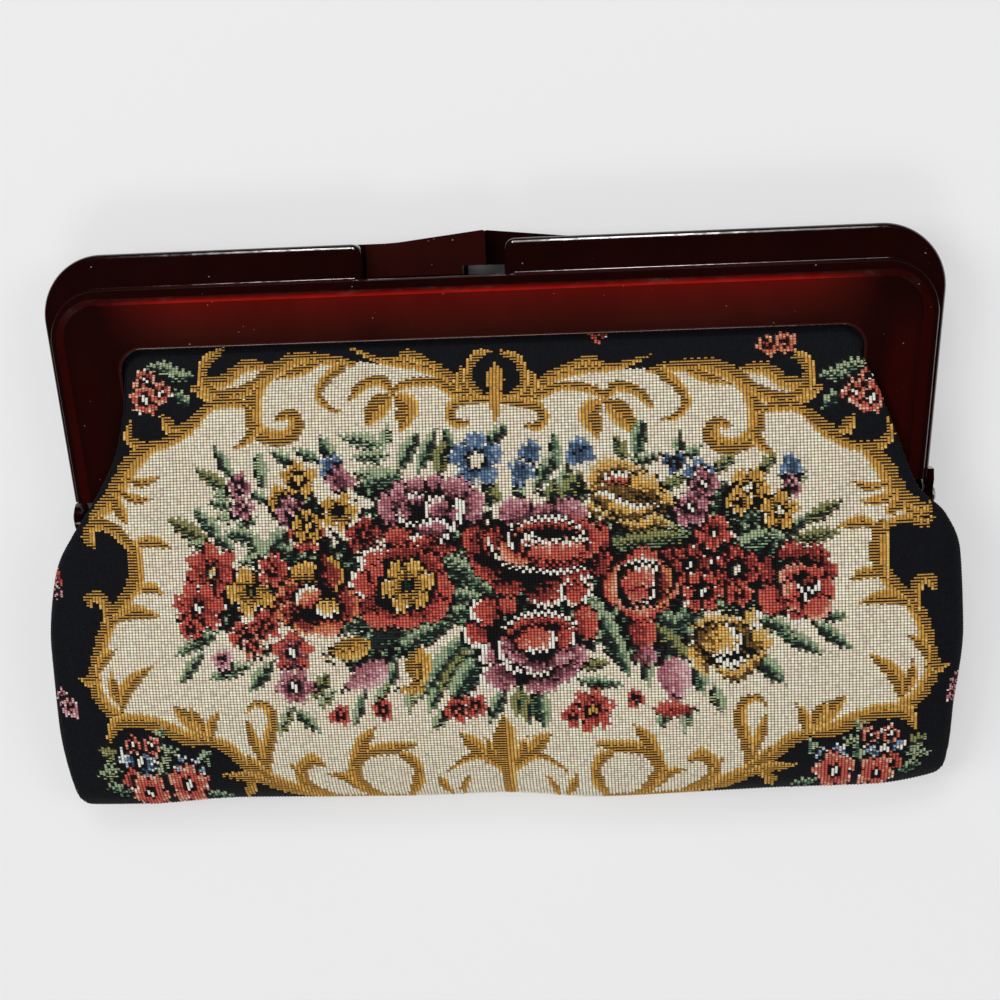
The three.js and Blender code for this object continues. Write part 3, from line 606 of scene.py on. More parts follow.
# x, y, heading, length, width, light tone, dark tone
LEAVES = (
    (-39.5, 28, -12, 14, 4.6, *PALE), (-37, 23, 0, 12, 4, *PALE), (-36, 17.5, 3, 14, 4.6, *SOFT),
    (-32, 29, 80, 7, 3.4, "sage", "sage"), (-25.5, 24, 60, 14, 5, *DEEP), (-19, 24.5, 66, 15, 4.6, *DEEP),
    (-14.5, 22, 76, 12, 5.6, "moss", "olive"), (-12, 28, 110, 6, 3, *DEEP), (3, 28.5, 45, 9, 4.4, *DEEP),
    (21.6, 23, 95, 11, 3.4, *DEEP), (18, 17, 60, 14, 4.6, *DEEP), (24, 14, 75, 11, 4, "sage", "pine"),
    (20, 10, 80, 9, 4, "moss", "pine"), (10, 11, 100, 7, 4, "sage", "pine"),
    (1, 11, 120, 9, 5, "moss", "pine"), (47.5, 26, 78, 12, 5, *DEEP), (42, 23, 112, 9, 4, *MOSSY),
    (49, 19.5, 15, 12, 3.6, *DEEP), (-51, 25.5, 110, 9, 4.4, *DEEP), (-84.5, 22, 118, 11, 3.8, *DEEP),
    (-88.5, 17, 150, 13, 4.4, *MOSSY), (-72.5, 19.5, 95, 12, 4.4, "sage", "sage"),
    (-65, 23, 148, 9, 3.6, *DEEP), (-57, 24, 158, 9, 3.4, *DEEP), (-85, 12.2, 178, 9, 3, "sage", "sage"),
    (-86, 9, 170, 10, 3, *DEEP), (-84, 5, 180, 9, 3, "sage", "sage"), (-90.5, 2.5, 130, 15, 4.4, *DEEP),
    (-78, 3, 205, 8, 3, *DEEP), (-97, 1, 148, 15, 5, "moss", "olive"), (-92.5, -4, 165, 10, 3.6, *PALE),
    (-73, 11, 150, 8, 3, *DEEP), (-68, 6, 120, 9, 3.6, "moss", "pine"), (-80, -1, 170, 10, 5, *DEEP),
    (-75, -5, 110, 11, 6, "sage", "pine"), (-68, -3, 40, 11, 6, *DEEP),
    (-74, -8.5, 190, 14, 4.6, "sage", "pine"), (-63, -7, -25, 10, 5, *DEEP), (-86, -3, 140, 9, 4, *DEEP),
    (-96, -35.5, 206, 16, 4.4, *DEEP), (-98.5, -43.5, 232, 13, 3.8, *DEEP), (-86, -45, 197, 15, 4.6, *PALE),
    (-75.5, -46.5, 230, 13, 5, *DEEP), (-69, -62, 246, 10, 3.6, *SOFT), (-62, -62, -46, 11, 4, *DEEP),
    (-56.5, -50, 236, 10, 4.6, "moss", "olive"), (-55, -55, 225, 8, 3.6, *SOFT),
    (-75, -39, 200, 10, 3, *DEEP), (-78, -24, 160, 12, 5, *DEEP), (-42, -29, 205, 20, 6, *DEEP),
    (-37, -36, 196, 26, 6, *DEEP), (-20, -33, 208, 26, 6, *DEEP), (-34, -33, 25, 14, 5, "pine", "pine"),
    (-16, -44, 232, 28, 8, *DEEP), (-14, -47, 236, 18, 4, *MOSSY), (-44.5, -58, 252, 13, 3, *DEEP),
    (-33, -47, 250, 10, 4, *DEEP), (-37, -53.5, 240, 8, 3.4, *SOFT), (-28, -56, 262, 8, 3.4, *SOFT),
    (-18, -62, 230, 11, 4, *SOFT), (-20, -55, 250, 10, 4, *DEEP), (0, -58, 242, 13, 4.6, *DEEP),
    (7, -57, 262, 10, 5, *MOSSY), (14, -59, -80, 14, 6.4, *DEEP), (10, -60, -95, 10, 4, *MOSSY),
    (33, -51, -6, 14, 3.8, *DEEP), (31, -45, 8, 10, 3.4, "moss", "olive"), (36.5, -35, -66, 28, 6.4, *DEEP),
    (32, -30, -80, 14, 4, *PALE), (40, -42, -70, 14, 5, *DEEP), (-6, -17, -32, 19, 5.6, *DEEP),
    (-8, -22.5, -12, 12, 6, *DEEP), (-10, -12, -30, 12, 5, *PALE), (-11, -27, 200, 12, 4, *DEEP),
    (60, 24, 82, 7, 3.2, *DEEP), (64, 21.5, 28, 7, 3, *DEEP), (73.5, 17.5, 36, 10, 3.6, *MOSSY),
    (87, 17, 56, 8, 3.6, *MOSSY), (103.5, 1.5, 27, 15, 4.4, "moss", "pine"),
    (101.5, -5.8, 8, 15, 4.4, "moss", "olive"), (83, -6.5, 22, 18, 6.4, *PALE),
    (50, -5.5, 6, 26, 6, *MOSSY), (57.5, 12, 24, 10, 3.6, *MOSSY), (72, 8, 60, 9, 4, *DEEP),
    (84, 1.5, 10, 18, 5, *DEEP), (95, -3, 40, 14, 4, *DEEP), (56, -1, -20, 12, 4, *SOFT),
    (66, 9, 200, 8, 3, *MOSSY), (106, -37, -38, 15, 4.4, *DEEP), (95.5, -38.5, -30, 17, 5, *DEEP),
    (106, -31, 0, 10, 3.4, *DEEP), (86, -47, -46, 15, 6, *DEEP), (77, -26, 10, 16, 4.6, *PALE),
    (57, -32, -30, 14, 6, *DEEP), (62, -30, 20, 10, 5, *DEEP), (56, -38, -46, 18, 4.6, "moss", "pine"),
    (88, -33, -20, 12, 4.6, *DEEP), (64.5, -50.5, -78, 10, 4.6, *DEEP), (70, -57, -74, 10, 4.4, *SOFT),
    (53, -63, 250, 7, 4, "fern", "moss"), (60, -63.5, 260, 8, 4, *PALE), (48, -47, -85, 10, 4, *DEEP),
    (95, 13.5, 5, 9, 2.6, "sage", "sage"), (95, 11.5, 5, 8, 2.4, *SOFT), (79, 7, 190, 10, 3, *MOSSY),
    (47, -28, 0, 14, 4, "pine", "pine"), (-9.5, -49, 237, 19, 7.5, *DEEP), (-34, 15.6, 12, 14, 5, *DEEP),
    (26, 12, 50, 12, 5, "moss", "pine"),
)
# x, y, radius, petals, turn, tone, dark tone, centre tone, centre radius
FLOWERS = (
    (-3.5, 21, 9, 5, 90, *BLUE, "cream", 2.4), (13.5, 23, 4, 3, 60, *BLUE, "slate", 0.5),
    (10.5, 16.8, 4.4, 3, 10, *BLUE, "slate", 0.5), (29, 22.5, 5, 3, 90, *BLUE, "slate", 0.5),
    (-49.5, 20, 4.6, 4, 45, *BLUE, "slate", 0.5), (-47, 15.5, 5, 4, 0, *MAUVE, "plum", 1),
    (-60.5, 16.5, 6, 5, 20, *GOLD, "honey", 1.5), (-48, 6, 6.2, 5, 0, *GOLD, "black", 1),
    (-66, 10.5, 5, 4, 30, *GOLD, "honey", 0.8), (-63, 6, 5.4, 4, 10, *MAUVE, "pink", 1),
    (-79.5, 15, 4.2, 3, 200, *MAUVE, "pink", 0.8), (-79, 8, 4.2, 4, 20, *MAUVE, "pink", 0.8),
    (-58.5, -1, 6.2, 6, 0, *RED, "red", 0.5), (-58, 1.5, 5.4, 5, 90, *GOLD, "honey", 1.4),
    (-40, -2, 6, 5, 10, "brick", "black", "red", 1), (-90, -12.5, 9.4, 7, 90, *RED, "straw", 1.5),
    (-95, -24, 9, 7, 60, *RED, "white", 1.4), (-98, -30.5, 4.2, 5, 20, *RED, "coral", 0.8),
    (-77.5, -19, 8.2, 5, 40, *GOLD, "olive", 1), (-70, -12.5, 5.8, 5, 0, *RED, "coral", 1),
    (-73, -30, 5.4, 5, 30, *RED, "coral", 1), (-81, -33, 5, 4, 20, *RED, "coral", 1),
    (-78, -37, 4, 4, 60, "coral", "brick", "red", 1), (-65, -39, 7, 5, 90, "red", "plum", "white", 1.3),
    (-65, -50.5, 6.6, 6, 0, *MAUVE, "white", 1.3), (-88, -41, 3.8, 3, 160, "pink", "mauve", "pink", 0.5),
    (-51, -60.5, 4, 3, 70, *RED, "coral", 0.8), (-37, -59, 4, 3, 60, *RED, "coral", 0.8),
    (-13, -59.5, 4.4, 4, 20, *RED, "coral", 0.8), (-7, -58, 4.6, 4, 60, "red", "plum", "coral", 0.8),
    (30.5, -60, 7.6, 6, 15, *RED, "gold", 1.4), (24, -62, 4, 4, 0, *RED, "coral", 0.6),
    (44, -56.5, 3.4, 3, 0, "red", "plum", "coral", 0.6),
    (62.5, -14, 6.8, 6, 10, "brick", "black", "white", 1),
    (77, -15.4, 7.2, 6, 30, "brick", "black", "cream", 1.4),
    (66, -22.4, 6.8, 6, 0, "red", "black", "white", 1), (70, -3.6, 6, 5, 50, *RED, "white", 1),
    (77.5, -23, 4.4, 5, 0, *RED, "coral", 0.8), (55, -14, 5, 4, 0, "brick", "black", "coral", 0.8),
    (54.5, -21.5, 4.6, 4, 0, "coral", "brick", "white", 0.8),
    (58.5, 18.5, 3.6, 3, 30, "slate", "black", "blue", 0.6), (66, 14.5, 5.2, 5, 90, *BLUE, "slate", 0.6),
    (67.5, 11.5, 5, 4, 10, *MAUVE, "white", 0.9), (63, 4, 6.2, 5, 20, *MAUVE, "white", 1),
    (94.5, 16.5, 3.8, 3, 90, *BLUE, "slate", 0.5), (94.5, 9.8, 3.4, 3, 200, *MAUVE, "pink", 0.5),
    (81.5, 10, 6.6, 5, 60, *GOLD, "cream", 1.2), (90.5, 2.5, 6.4, 5, 10, *GOLD, "cream", 1.2),
    (78, 6, 4.6, 4, 0, *GOLD, "honey", 0.6), (55, 6.5, 4, 4, 0, *GOLD, "honey", 0.6),
)
# x, y, heading, length, width, tone, dark tone
TULIPS = (
    (-24.5, -45.5, -95, 14, 8, *GOLD), (-42, -48, 208, 18, 8, "pink", "mauve"),
    (-47.5, -38.5, 192, 16, 7, *GOLD), (47.5, -36, -88, 13, 8, *RED), (48, -43, -85, 7, 7, *MAUVE),
    (57, -51, -90, 16, 10, "pink", "mauve"), (57, -60.5, 0, 14, 5, *RED), (-27.5, -52, 180, 10, 3.4, *GOLD),
)
# Dark foliage behind the flowers: x, y, rx, ry, turn
THICKETS = (
    (-16, -18, 30, 13, -10), (12, -28, 22, 20, 0), (52, -10, 30, 14, -8), (-58, -16, 22, 13, 10),
    (-20, 4, 20, 9, 0), (48, -32, 16, 14, -20), (82, -18, 18, 13, 0), (-34, -36, 18, 7, 20),
    (-88, -22, 9, 10, 0), (44, 8, 12, 8, 0), (78, 3, 14, 8, 0), (-60, 8, 7, 5, -20), (72, -37, 10, 7, 0),
    (36, -18, 5, 8, 0), (25, 10, 8, 4, 0), (-34, 13, 8, 4, 10), (-12.5, -4.5, 5, 5, 0), (-7, -44, 5, 6, 0),
)
# Roses and the large open flowers, from the back. A petal: x, y, rx, ry, turn, tone, rim tone, rim side.
# A fold: half width, tone, rim tone, rim side, points. A white edge is a thin fold.
FOLD_COLUMNS = 5
EDGE = (0.72, "white", None, 1)
ROSES = (
    # mauve rose
    (-18, 6, 15, 8.6, 0, "black"), (-28.5, -2.4, 5.2, 2.8, -8, "red", None, 100),
    (-20, -3.6, 5.6, 2.4, 0, "red", "white", 95), (-15, -6.4, 5, 2.2, 12, "brick", None, -90),
    (-31.5, 6.6, 3.6, 5.2, 10, "mauve", None, 170), (-27.5, 11.4, 3.8, 3.6, 30, "mauve", None, 120),
    (-22.5, 13.4, 3.8, 2.8, 0, "mauve", None, 95), (-16.8, 14.2, 2.8, 2.6, 0, "mauve"),
    (-9.5, 12, 6, 3.6, -20, "mauve", None, 70), (-4.8, 6.6, 3.2, 5.6, -10, "mauve", None, 10),
    (-10.4, 4, 2.4, 5, -15, "mauve", "white", 20), (-22.6, 5.4, 3, 3, 0, "black"),
    (-23, 9.4, 2.6, 1.8, 0, "mauve", "white", 100), (-27, 4.8, 2.2, 2.8, 0, "mauve", None, 170),
    (*EDGE, ((-29, 4), (-26.5, 1.6), (-23, 1.4))), (-16.6, 6.2, 3.8, 4, 15, "mauve", "white", 135),
    (-17.4, 0.2, 5.8, 2.6, 0, "mauve", "white", 80), (*EDGE, ((-9.8, 4), (-12, -0.5), (-16, -4.6))),
    # middle rose
    (15, -8, 22, 12.6, -4, "black"), (8.5, 4.8, 5.8, 4, 8, "mauve", None, 100),
    (18.6, 5, 4.8, 2.4, 0, "mauve"), (25.8, 4.2, 5.8, 3.6, -22, "mauve", None, 60),
    (-4.6, -4.6, 3.8, 5, 0, "brick", None, 170), (34.4, -4.6, 3.2, 5.2, 0, "brick", None, 10),
    (34.5, -13, 4.8, 3.4, 20, "brick", None, -30), (26.5, -16.8, 5, 2.4, 8, "red", "white", -80),
    (1.6, -5, 3.6, 4.8, -10, "brick", None, 160),
    (2.7, "brick", None, -1, ((-7, -8), (-1, -14.6), (9, -17.4))),
    (*EDGE, ((-1, -3), (1, -8), (5, -12), (10, -14))),
    (2.2, "orange", None, -1, ((3.3, -4), (5.8, -9.5), (13, -12))),
    (2.1, "red", None, 1, ((26.5, 2.4), (32.4, -2.2), (32.2, -8), (24, -13.2))),
    (*EDGE, ((7, 0), (5.8, -4), (7.4, -8))),
    (1.5, "red", None, 1, ((8, -2.5), (13, 0), (20, 0.4), (29, -2.6))),
    (*EDGE, ((9, 0), (14, 1.8), (20, 2.2), (25, 1), (30, -2.4))), (21, -3, 5.6, 1.3, 0, "black"),
    (1.6, "brick", None, -1, ((11, -10.5), (20, -13), (30, -11))),
    (12.6, -5.4, 3.4, 2.8, 20, "coral", "white", 95), (21, -8, 9, 3.6, 2, "coral"),
    (*EDGE, ((11.5, -6.4), (15, -4.6), (18, -6.2))), (*EDGE, ((17.6, -6.2), (21, -4.8), (25, -6.2))),
    (*EDGE, ((24.4, -6), (28, -4), (31.4, -5.4))), (*EDGE, ((11, -13.6), (20, -15), (30, -13.6))),
    (5.5, -19, 5, 3, -8, "brick", None, -90), (26, -22.4, 4.8, 3.8, 10, "red", "white", -70),
    (17, -21.4, 6.4, 4.8, -12, "brick", "white", -60),
    # lower rose
    (11, -40, 16, 12.5, 0, "black"), (-2.5, -27, 4.8, 4.2, 0, "red", "white", 180),
    (4.6, -25.4, 3.2, 2.8, 0, "red", None, 60), (-6, -34.5, 4.2, 3.8, 0, "red", "white", 220),
    (29.6, -31, 3.8, 5.2, 10, "red", None, 20), (23, -35.5, 3, 4.8, -8, "red", "white", 0),
    (-2, -41.5, 2.8, 4, 0, "pink", "white", 180), (26.6, -42, 3.2, 3.6, 0, "mauve", None, 0),
    (22.5, -48.4, 5.2, 3.2, 25, "mauve", "white", -60), (14.5, -51.6, 5.6, 2.4, 5, "mauve", None, -90),
    (0.5, -48.5, 6, 4.6, -14, "mauve", "white", 200), (13.5, -46, 4.4, 2.6, 0, "mauve", "white", -90),
    (4, -40, 3, 4.4, 10, "mauve", "white", 200), (*EDGE, ((2, -44), (6, -46.5), (10.5, -45))),
    (7.6, -42.4, 3.4, 2, -20, "mauve", None, 210), (20.6, -42.6, 4, 2.6, 15, "mauve", None, -20),
    (15, -42.4, 2.6, 1.2, 0, "black"),
    (1.5, "red", None, 1, ((4, -35), (10, -30.5), (20, -30), (26, -33.5))),
    (*EDGE, ((3, -32.4), (8, -29), (14, -28), (21, -28.6), (26.5, -31.6))),
    (13.5, -36.5, 6.6, 4, 6, "coral", "white", -55),
    # red flower with a gold heart
    (-28, -18.5, 14, 11, 0, "black"), (-40, -23, 5.4, 4, 20, "brick", None, 190),
    (-40, -17, 5.4, 5, 0, "red", "white", 170), (-36.5, -9.4, 6, 3.8, 10, "red", "white", 125),
    (-26, -8.6, 6.6, 3.4, 0, "brick"), (-19.4, -11.4, 4.4, 3.6, -20, "brick", None, 60),
    (-34.5, -14, 4.6, 3.8, 30, "red", None, 120), (-15.6, -19.4, 3.4, 4.8, 12, "red", None, 20),
    (-18.6, -26.4, 5, 3.4, 28, "red", None, -40), (-36, -28.6, 5.6, 3.2, -8, "red", None, -100),
    (-27, -29.2, 5, 3, 8, "red", None, -90), (-27, -18, 8.6, 7.4, 0, "black"),
    # gold rose
    (44, 7, 12, 8, -10, "ochre"), (1.6, "amber", None, 1, ((31, 7), (34, 3.6), (39, 2))),
    (2.4, "amber", None, -1, ((50, 15.6), (43, 18), (36, 17.5), (33, 13.5), (33.4, 9))),
    (1.6, "coral", "white", -1, ((45.5, 11.6), (41, 14.4), (36, 12.6))),
    (49, 11.6, 4.8, 3.8, -8, "amber", None, 70), (55.5, 7.2, 3, 2.2, 30, "amber", None, 60),
    (2.3, "amber", None, 1, ((39, 1), (46, -0.8), (52, 0.6), (57.5, -1.4))),
    (2.7, "amber", "white", 1, ((31, 9.8), (36, 8), (41, 4.6), (47, 3.4), (54, 5.6))),
    # pansy
    (-58, -22, 11.5, 9.5, 0, "brick"), (-59, -13, 5.6, 3.2, -4, "gold"),
    (-51.5, -13.5, 4.4, 5.6, 20, "brick", "gold", 10), (-65, -19, 4.2, 3, 30, "brick", "orange", 130),
    (-65, -26, 4.2, 3.6, 0, "brick", "orange", 170), (-46.5, -24, 4, 5.6, 0, "brick", "orange", 0),
    (-59.5, -30, 5, 3.2, 0, "brick", "orange", -90), (-53, -31.5, 4.6, 2.6, 10, "orange", None, -90),
    (-56, -22.5, 5.6, 5, 0, "black"), (-59, -21, 4, 3.4, 20, "orange", "white", 120),
    (-53, -24.6, 3.6, 3.4, 0, "honey", "white", -100),
    # white-edged rose on the right
    (46.5, -19, 10.5, 9.5, 0, "black"), (2.2, "coral", "white", 1, ((54, -13), (48, -10), (41, -13))),
    (2.2, "orange", None, -1, ((41, -27), (37, -21), (40, -13))),
    (2.0, "coral", None, -1, ((55, -27), (47, -29), (40, -27))),
    (47, -18, 6.4, 4.4, 20, "coral", "white", 50),
    (1.0, "white", None, 1, ((52, -19), (49, -24), (43, -25.5))),
    (46, -23, 3.4, 2.2, 20, "coral", None, -90), (54.2, -18.4, 2.6, 4.4, -10, "brick", "orange", 10),
    (53.6, -24.4, 2.6, 2, 20, "brick", "orange", -60),
    # far right rose
    (97, -21, 9, 9.5, 0, "black"), (94, -11.2, 4.2, 3.4, 15, "brick"),
    (102, -12.2, 3.8, 3.4, -20, "brick", None, 60), (105.4, -17, 3.2, 3.2, 0, "brick", None, 20),
    (87.2, -16, 3.4, 3.8, 0, "brick", None, 180), (87.6, -25.4, 4.4, 4.6, 0, "red", None, 200),
    (104.6, -22.4, 3, 4, 0, "red", None, 0), (101.4, -28.4, 4.6, 3.6, 25, "coral", None, -60),
    (95, -31, 2.8, 2.6, 0, "red", "white", -110), (101, -17.4, 2.8, 2.4, 0, "red", None, 60),
    (2.0, "coral", None, 1, ((91.8, -23), (92.4, -17.5), (98.5, -15))),
    (93.4, -22.8, 2.6, 3.4, 10, "coral", None, 150), (94.6, -27.2, 2.2, 1.8, 0, "coral", None, -90),
    (*EDGE, ((95.4, -20.6), (97.6, -23.6), (98.6, -26.8))),
    (*EDGE, ((98.8, -22.8), (101.6, -22), (102.2, -19.8))), (99.2, -20, 2, 1.4, 0, "brick"),
    # yellow rose
    (73, -38.5, 10.5, 8, -8, "ochre"), (1.9, "amber", None, 1, ((62.5, -33.6), (70, -31.4), (79, -32.2))),
    (81.4, -31, 3.4, 2.6, 50, "straw", "white", -20), (84, -38.2, 3.2, 4.2, 0, "amber", None, 60),
    (2.4, "amber", None, -1, ((61, -39), (64.5, -44), (67.4, -49.5))),
    (2.5, "amber", None, 1, ((69, -46.5), (75, -49), (80, -46.5), (85.5, -41.6))),
    (1.1, "white", None, 1, ((68.5, -42.5), (74, -45.6), (80, -43.4))),
    (71, -37.6, 7.4, 4.8, -10, "amber", "white", -20),
)
# The gold flower in the middle, over the roses: columns as for the flowers.
HEART = (-26.8, -18, 8.8, 6, 10, *GOLD, "pine", 1.4)
# Posies on the black ground, drawn on the left and worked again on the right.
POSY_LEAVES = (
    (-104.5, 53, 170, 11, 4, *PALE), (-99, 50.5, 0, 9, 4, *PALE), (-98, 43, -40, 8, 3.6, *DEEP),
    (-130, -73, 150, 7, 5, "moss", "sage"), (-131, -78, 190, 8, 4, *SOFT), (-112.5, -68, 55, 8, 4, *PALE),
    (-111, -72, 10, 9, 4, *SOFT), (-112.5, -77.5, 80, 9, 5, *PALE), (-98, -74.5, 60, 8, 4, *PALE),
    (-128.5, -83, 170, 9, 3.6, *DEEP), (-96, -86.5, -10, 9, 3, *DEEP),
)
POSY_FLOWERS = (
    (-110.5, 49, 4.2, 4, 30, "coral", "brick", "white", 1), (-110, 43, 5.2, 5, 90, *CORAL, "white", 1.5),
    (-105, 45, 4, 4, 0, *CORAL, "white", 0.8), (-120, -74.5, 7, 5, 90, "sky", "slate", "white", 1.4),
    (-121.5, -69.5, 3, 3, 80, *CORAL, "white", 0.8), (-115, -70, 3, 3, 60, *CORAL, "white", 0.6),
    (-105.5, -76.5, 3.6, 3, 90, "sky", "slate", "white", 0.6),
    (-101, -77, 3, 3, 90, "sky", "slate", "white", 0.5), (-123, -80.5, 4, 4, 0, *RED, "coral", 0.6),
    (-105, -82.5, 7, 5, 80, *CORAL, "white", 1.3), (-118.5, -84, 6.4, 5, 50, *CORAL, "white", 1),
)
# Sprigs near the edges: x, y, radius, petals, turn, tone, dark tone, centre tone, centre radius
SPRIGS = (
    (88.4, 53.8, 3.6, 3, 180, "orange", "brick", "red", 0.6, "red"),
    (94, 54.6, 3.8, 3, 20, "orange", "red", "salmon", 0.6, "coral"),
    (35.5, 60, 3.6, 4, 0, *RED, "coral", 0.8), (-144.5, -14.5, 3.6, 3, 90, *RED, "pink", 0.6),
    (-144, -18.5, 2.6, 3, 0, "pink", "brick", "pink", 0.5), (-145, -54, 3.2, 4, 0, *MAUVE, "mauve", 0.5),
    (-142, -57.5, 3.8, 4, 40, "pink", "mauve", "coral", 0.6), (147, -54, 3.2, 4, 0, *MAUVE, "pink", 0.5),
    (145.5, -58, 3.2, 4, 40, "pink", "mauve", "coral", 0.6),
)


# the column of a leaf and of a flower that holds its turn
LEAF_TURN = 2
FLOWER_TURN = 4
# chances below the first limit make a stitch lighter, from there to the second darker
SPECKLE_LIGHT = 0.1
SPECKLE_DARK = 0.15


def mirrored(entry, turn):
    """The same leaf or flower worked on the right half; turn is the column with its turn."""
    (x, y), = twin([entry[:2]])
    return (x, y, *entry[2:turn], 180 - entry[turn], *entry[turn + 1:])


def draw_chart():
    """Works the chart from the field up to the flowers on top."""
    field()
    for shape, width, light, points in BORDER:
        gold(shape, width, light, points)
        gold(shape, width, -light, twin(points))
    for draw, table in (
        (gold, SINGLE), (thicket, THICKETS), (leaf, LEAVES), (tulip, TULIPS), (flower, FLOWERS),
    ):
        for entry in table:
            draw(*entry)
    for entry in ROSES:
        draw = fold if len(entry) == FOLD_COLUMNS else petal
        draw(*entry)
    flower(*HEART)
    for draw, table, turn in ((leaf, POSY_LEAVES, LEAF_TURN), (flower, POSY_FLOWERS, FLOWER_TURN)):
        for entry in table:
            draw(*entry)
            draw(*mirrored(entry, turn))
    for entry in SPRIGS:
        flower(*entry)


def speckle():
    """Here and there a stitch of wool comes out a shade lighter or darker than its neighbours."""
    chance = per_stitch(0, 1)
    was = tone.copy()
    for table, low, high in ((LIGHTER, 0, SPECKLE_LIGHT), (DARKER, SPECKLE_LIGHT, SPECKLE_DARK)):
        for colour, other in table.items():
            if wool(colour) == BEAD:
                chosen = (was == TONES.index(colour)) & (chance >= low) & (chance < high)
                tone[chosen] = TONES.index(other)


draw_chart()
speckle()


# Meshes
def linear(rgb):
    c = np.asarray(rgb, float) / 255
    return np.where(c <= 0.04045, c / 12.92, ((c + 0.055) / 1.055) ** 2.4)


def add_object(name, data, material=None):
    if material:
        data.materials.append(material)
    piece = bpy.data.objects.new(name, data)
    scene.collection.objects.link(piece)
    return piece


def paint(mesh, name, domain, colours):
    """Stores colours with a mesh, one to each point or corner."""
    layer = mesh.color_attributes.new(name, "FLOAT_COLOR", domain)
    rgba = np.ones((len(colours), 4), np.float32)
    rgba[:, :3] = colours
    layer.data.foreach_set("color", rgba.ravel())


def mesh_from_arrays(name, points, corners, starts, colours):
    """A mesh from flat arrays, points in millimetres."""
    mesh = bpy.data.meshes.new(name)
    mesh.vertices.add(len(points))
    mesh.vertices.foreach_set("co", (points * MM).astype(np.float32).ravel())
    mesh.loops.add(len(corners))
    mesh.loops.foreach_set("vertex_index", corners.astype(np.int32))
    mesh.polygons.add(len(starts))
    mesh.polygons.foreach_set("loop_start", starts.astype(np.int32))
    paint(mesh, "thread", "POINT", colours)
    mesh.update(calc_edges=True)
    mesh.validate()
    mesh.polygons.foreach_set("use_smooth", np.ones(len(mesh.polygons), bool))
    return mesh


PALETTE_LINEAR = linear(list(PALETTE.values()))
UNDER_CREAM = linear((116, 102, 86))
UNDER_DARK = linear((24, 20, 21))
# share of the wool's colour on the ground cloth under coloured beads, a painted shade of the wool in the gaps
UNDER_WOOL_SHADE = 0.3
# share of the ground's colour on the plain back panel
BACK_SHARE = 0.8
# share of the cell across and down, ridge along the cloth, height
STITCHES = {
    GROUND: (0.95, 1.0, True, 0.16),
    BEAD: (1.0, 0.88, True, 0.34),
    RIB: (0.88, 1.0, True, 0.28),
    HATCH: (1.0, 1.0, False, 0.22),
}
# a bead is narrower at its two ends, so dark dots show where four of them meet
BEAD_END = 0.6
# painted light on a bead: share of the wool's colour at its shaded foot, and of cream added at its lit tip:
# pale wool, coloured wool
FOOT_SHADE_SHARE = (0.85, 0.7)
TIP_HIGHLIGHT_SHARE = (0.05, 0.28)
# the same painted shade at the foot and painted highlight on the crest, for the ridge of the other stitches
RIDGE_FOOT_SHADE = 0.7
RIDGE_CREST_HIGHLIGHT = 1.4
# length of the ridge as a share of an upright and of a lying stitch
RIDGE_UPRIGHT = 0.62
RIDGE_LYING = 0.66
# the stitches' feet lie under the cloth's surface, and their tops are sunk a little
FOOT_DEPTH = 0.22
TOP_SINK = 0.12
# how much stitches of one wool differ in brightness and in hue, and the limits of their colours
SHADE_SPREAD = 0.10
HUE_SPREAD = 0.03
DARKEST = 0.002
BRIGHTEST = 0.95


def cell_shape(points, line, column, picks):
    """Foot, top and the two half axes of the stitches in the given cells."""
    j, i = 2 * line + picks, 2 * column + 1
    centre = points[j, i]
    across = (points[j, i + 1] - points[j, i - 1]) / 2
    down = (points[j + picks, i] - points[j - picks, i]) / 2
    normal = np.cross(down, across)
    normal /= np.maximum(np.linalg.norm(normal, axis=1, keepdims=True), 1e-9)
    shape = np.array([STITCHES[k] for k in range(4)], float)[kind[line, column]]
    wide, tall, along, height = (shape[:, k:k + 1] for k in range(4))
    foot = centre - normal * FOOT_DEPTH
    top = centre + normal * (height - TOP_SINK)
    return foot, top, across * wide, down * tall, along


def thread_colours(line, column):
    """Colours of the given stitches, each a little off its wool's."""
    colour = PALETTE_LINEAR[tone[line, column]]
    colour = colour * (1 + SHADE_SPREAD * dice.standard_normal((len(line), 1)))
    colour = colour * (1 + HUE_SPREAD * dice.standard_normal((len(line), 3)))
    return np.clip(colour, DARKEST, BRIGHTEST)


def bead_mesh(name, points, line, column, picks):
    """Round beads of wool with six sides, with painted shade at the foot and a painted highlight at the tip.
    """
    foot, top, a, b, _ = cell_shape(points, line, column, picks)
    end = a * BEAD_END
    ring = [foot - end - b, foot + end - b, foot + a, foot + end + b, foot - end + b, foot - a]
    tip, corners = len(ring), len(ring) + 1
    block = np.stack([*ring, top], 1)
    first = np.arange(len(line))[:, None]
    sides = np.array([(k, tip, (k + 1) % tip) for k in range(tip)]).ravel()
    loops = (sides[None] + first * corners).ravel()
    starts = np.arange(len(line) * tip) * 3
    colour = thread_colours(line, column)
    pale = np.isin(tone[line, column], [CREAM, WHITE])[:, None]
    # painted highlight at each bead's tip and painted shade at its foot
    tip_highlight = np.where(pale, *TIP_HIGHLIGHT_SHARE) * colour.max(1, keepdims=True) * PALETTE_LINEAR[CREAM]
    shades = np.repeat((colour * np.where(pale, *FOOT_SHADE_SHARE))[:, None], corners, 1)
    shades[:, tip] = np.minimum(colour + tip_highlight, BRIGHTEST)
    return mesh_from_arrays(name, block.reshape(-1, 3), loops, starts, shades.reshape(-1, 3))


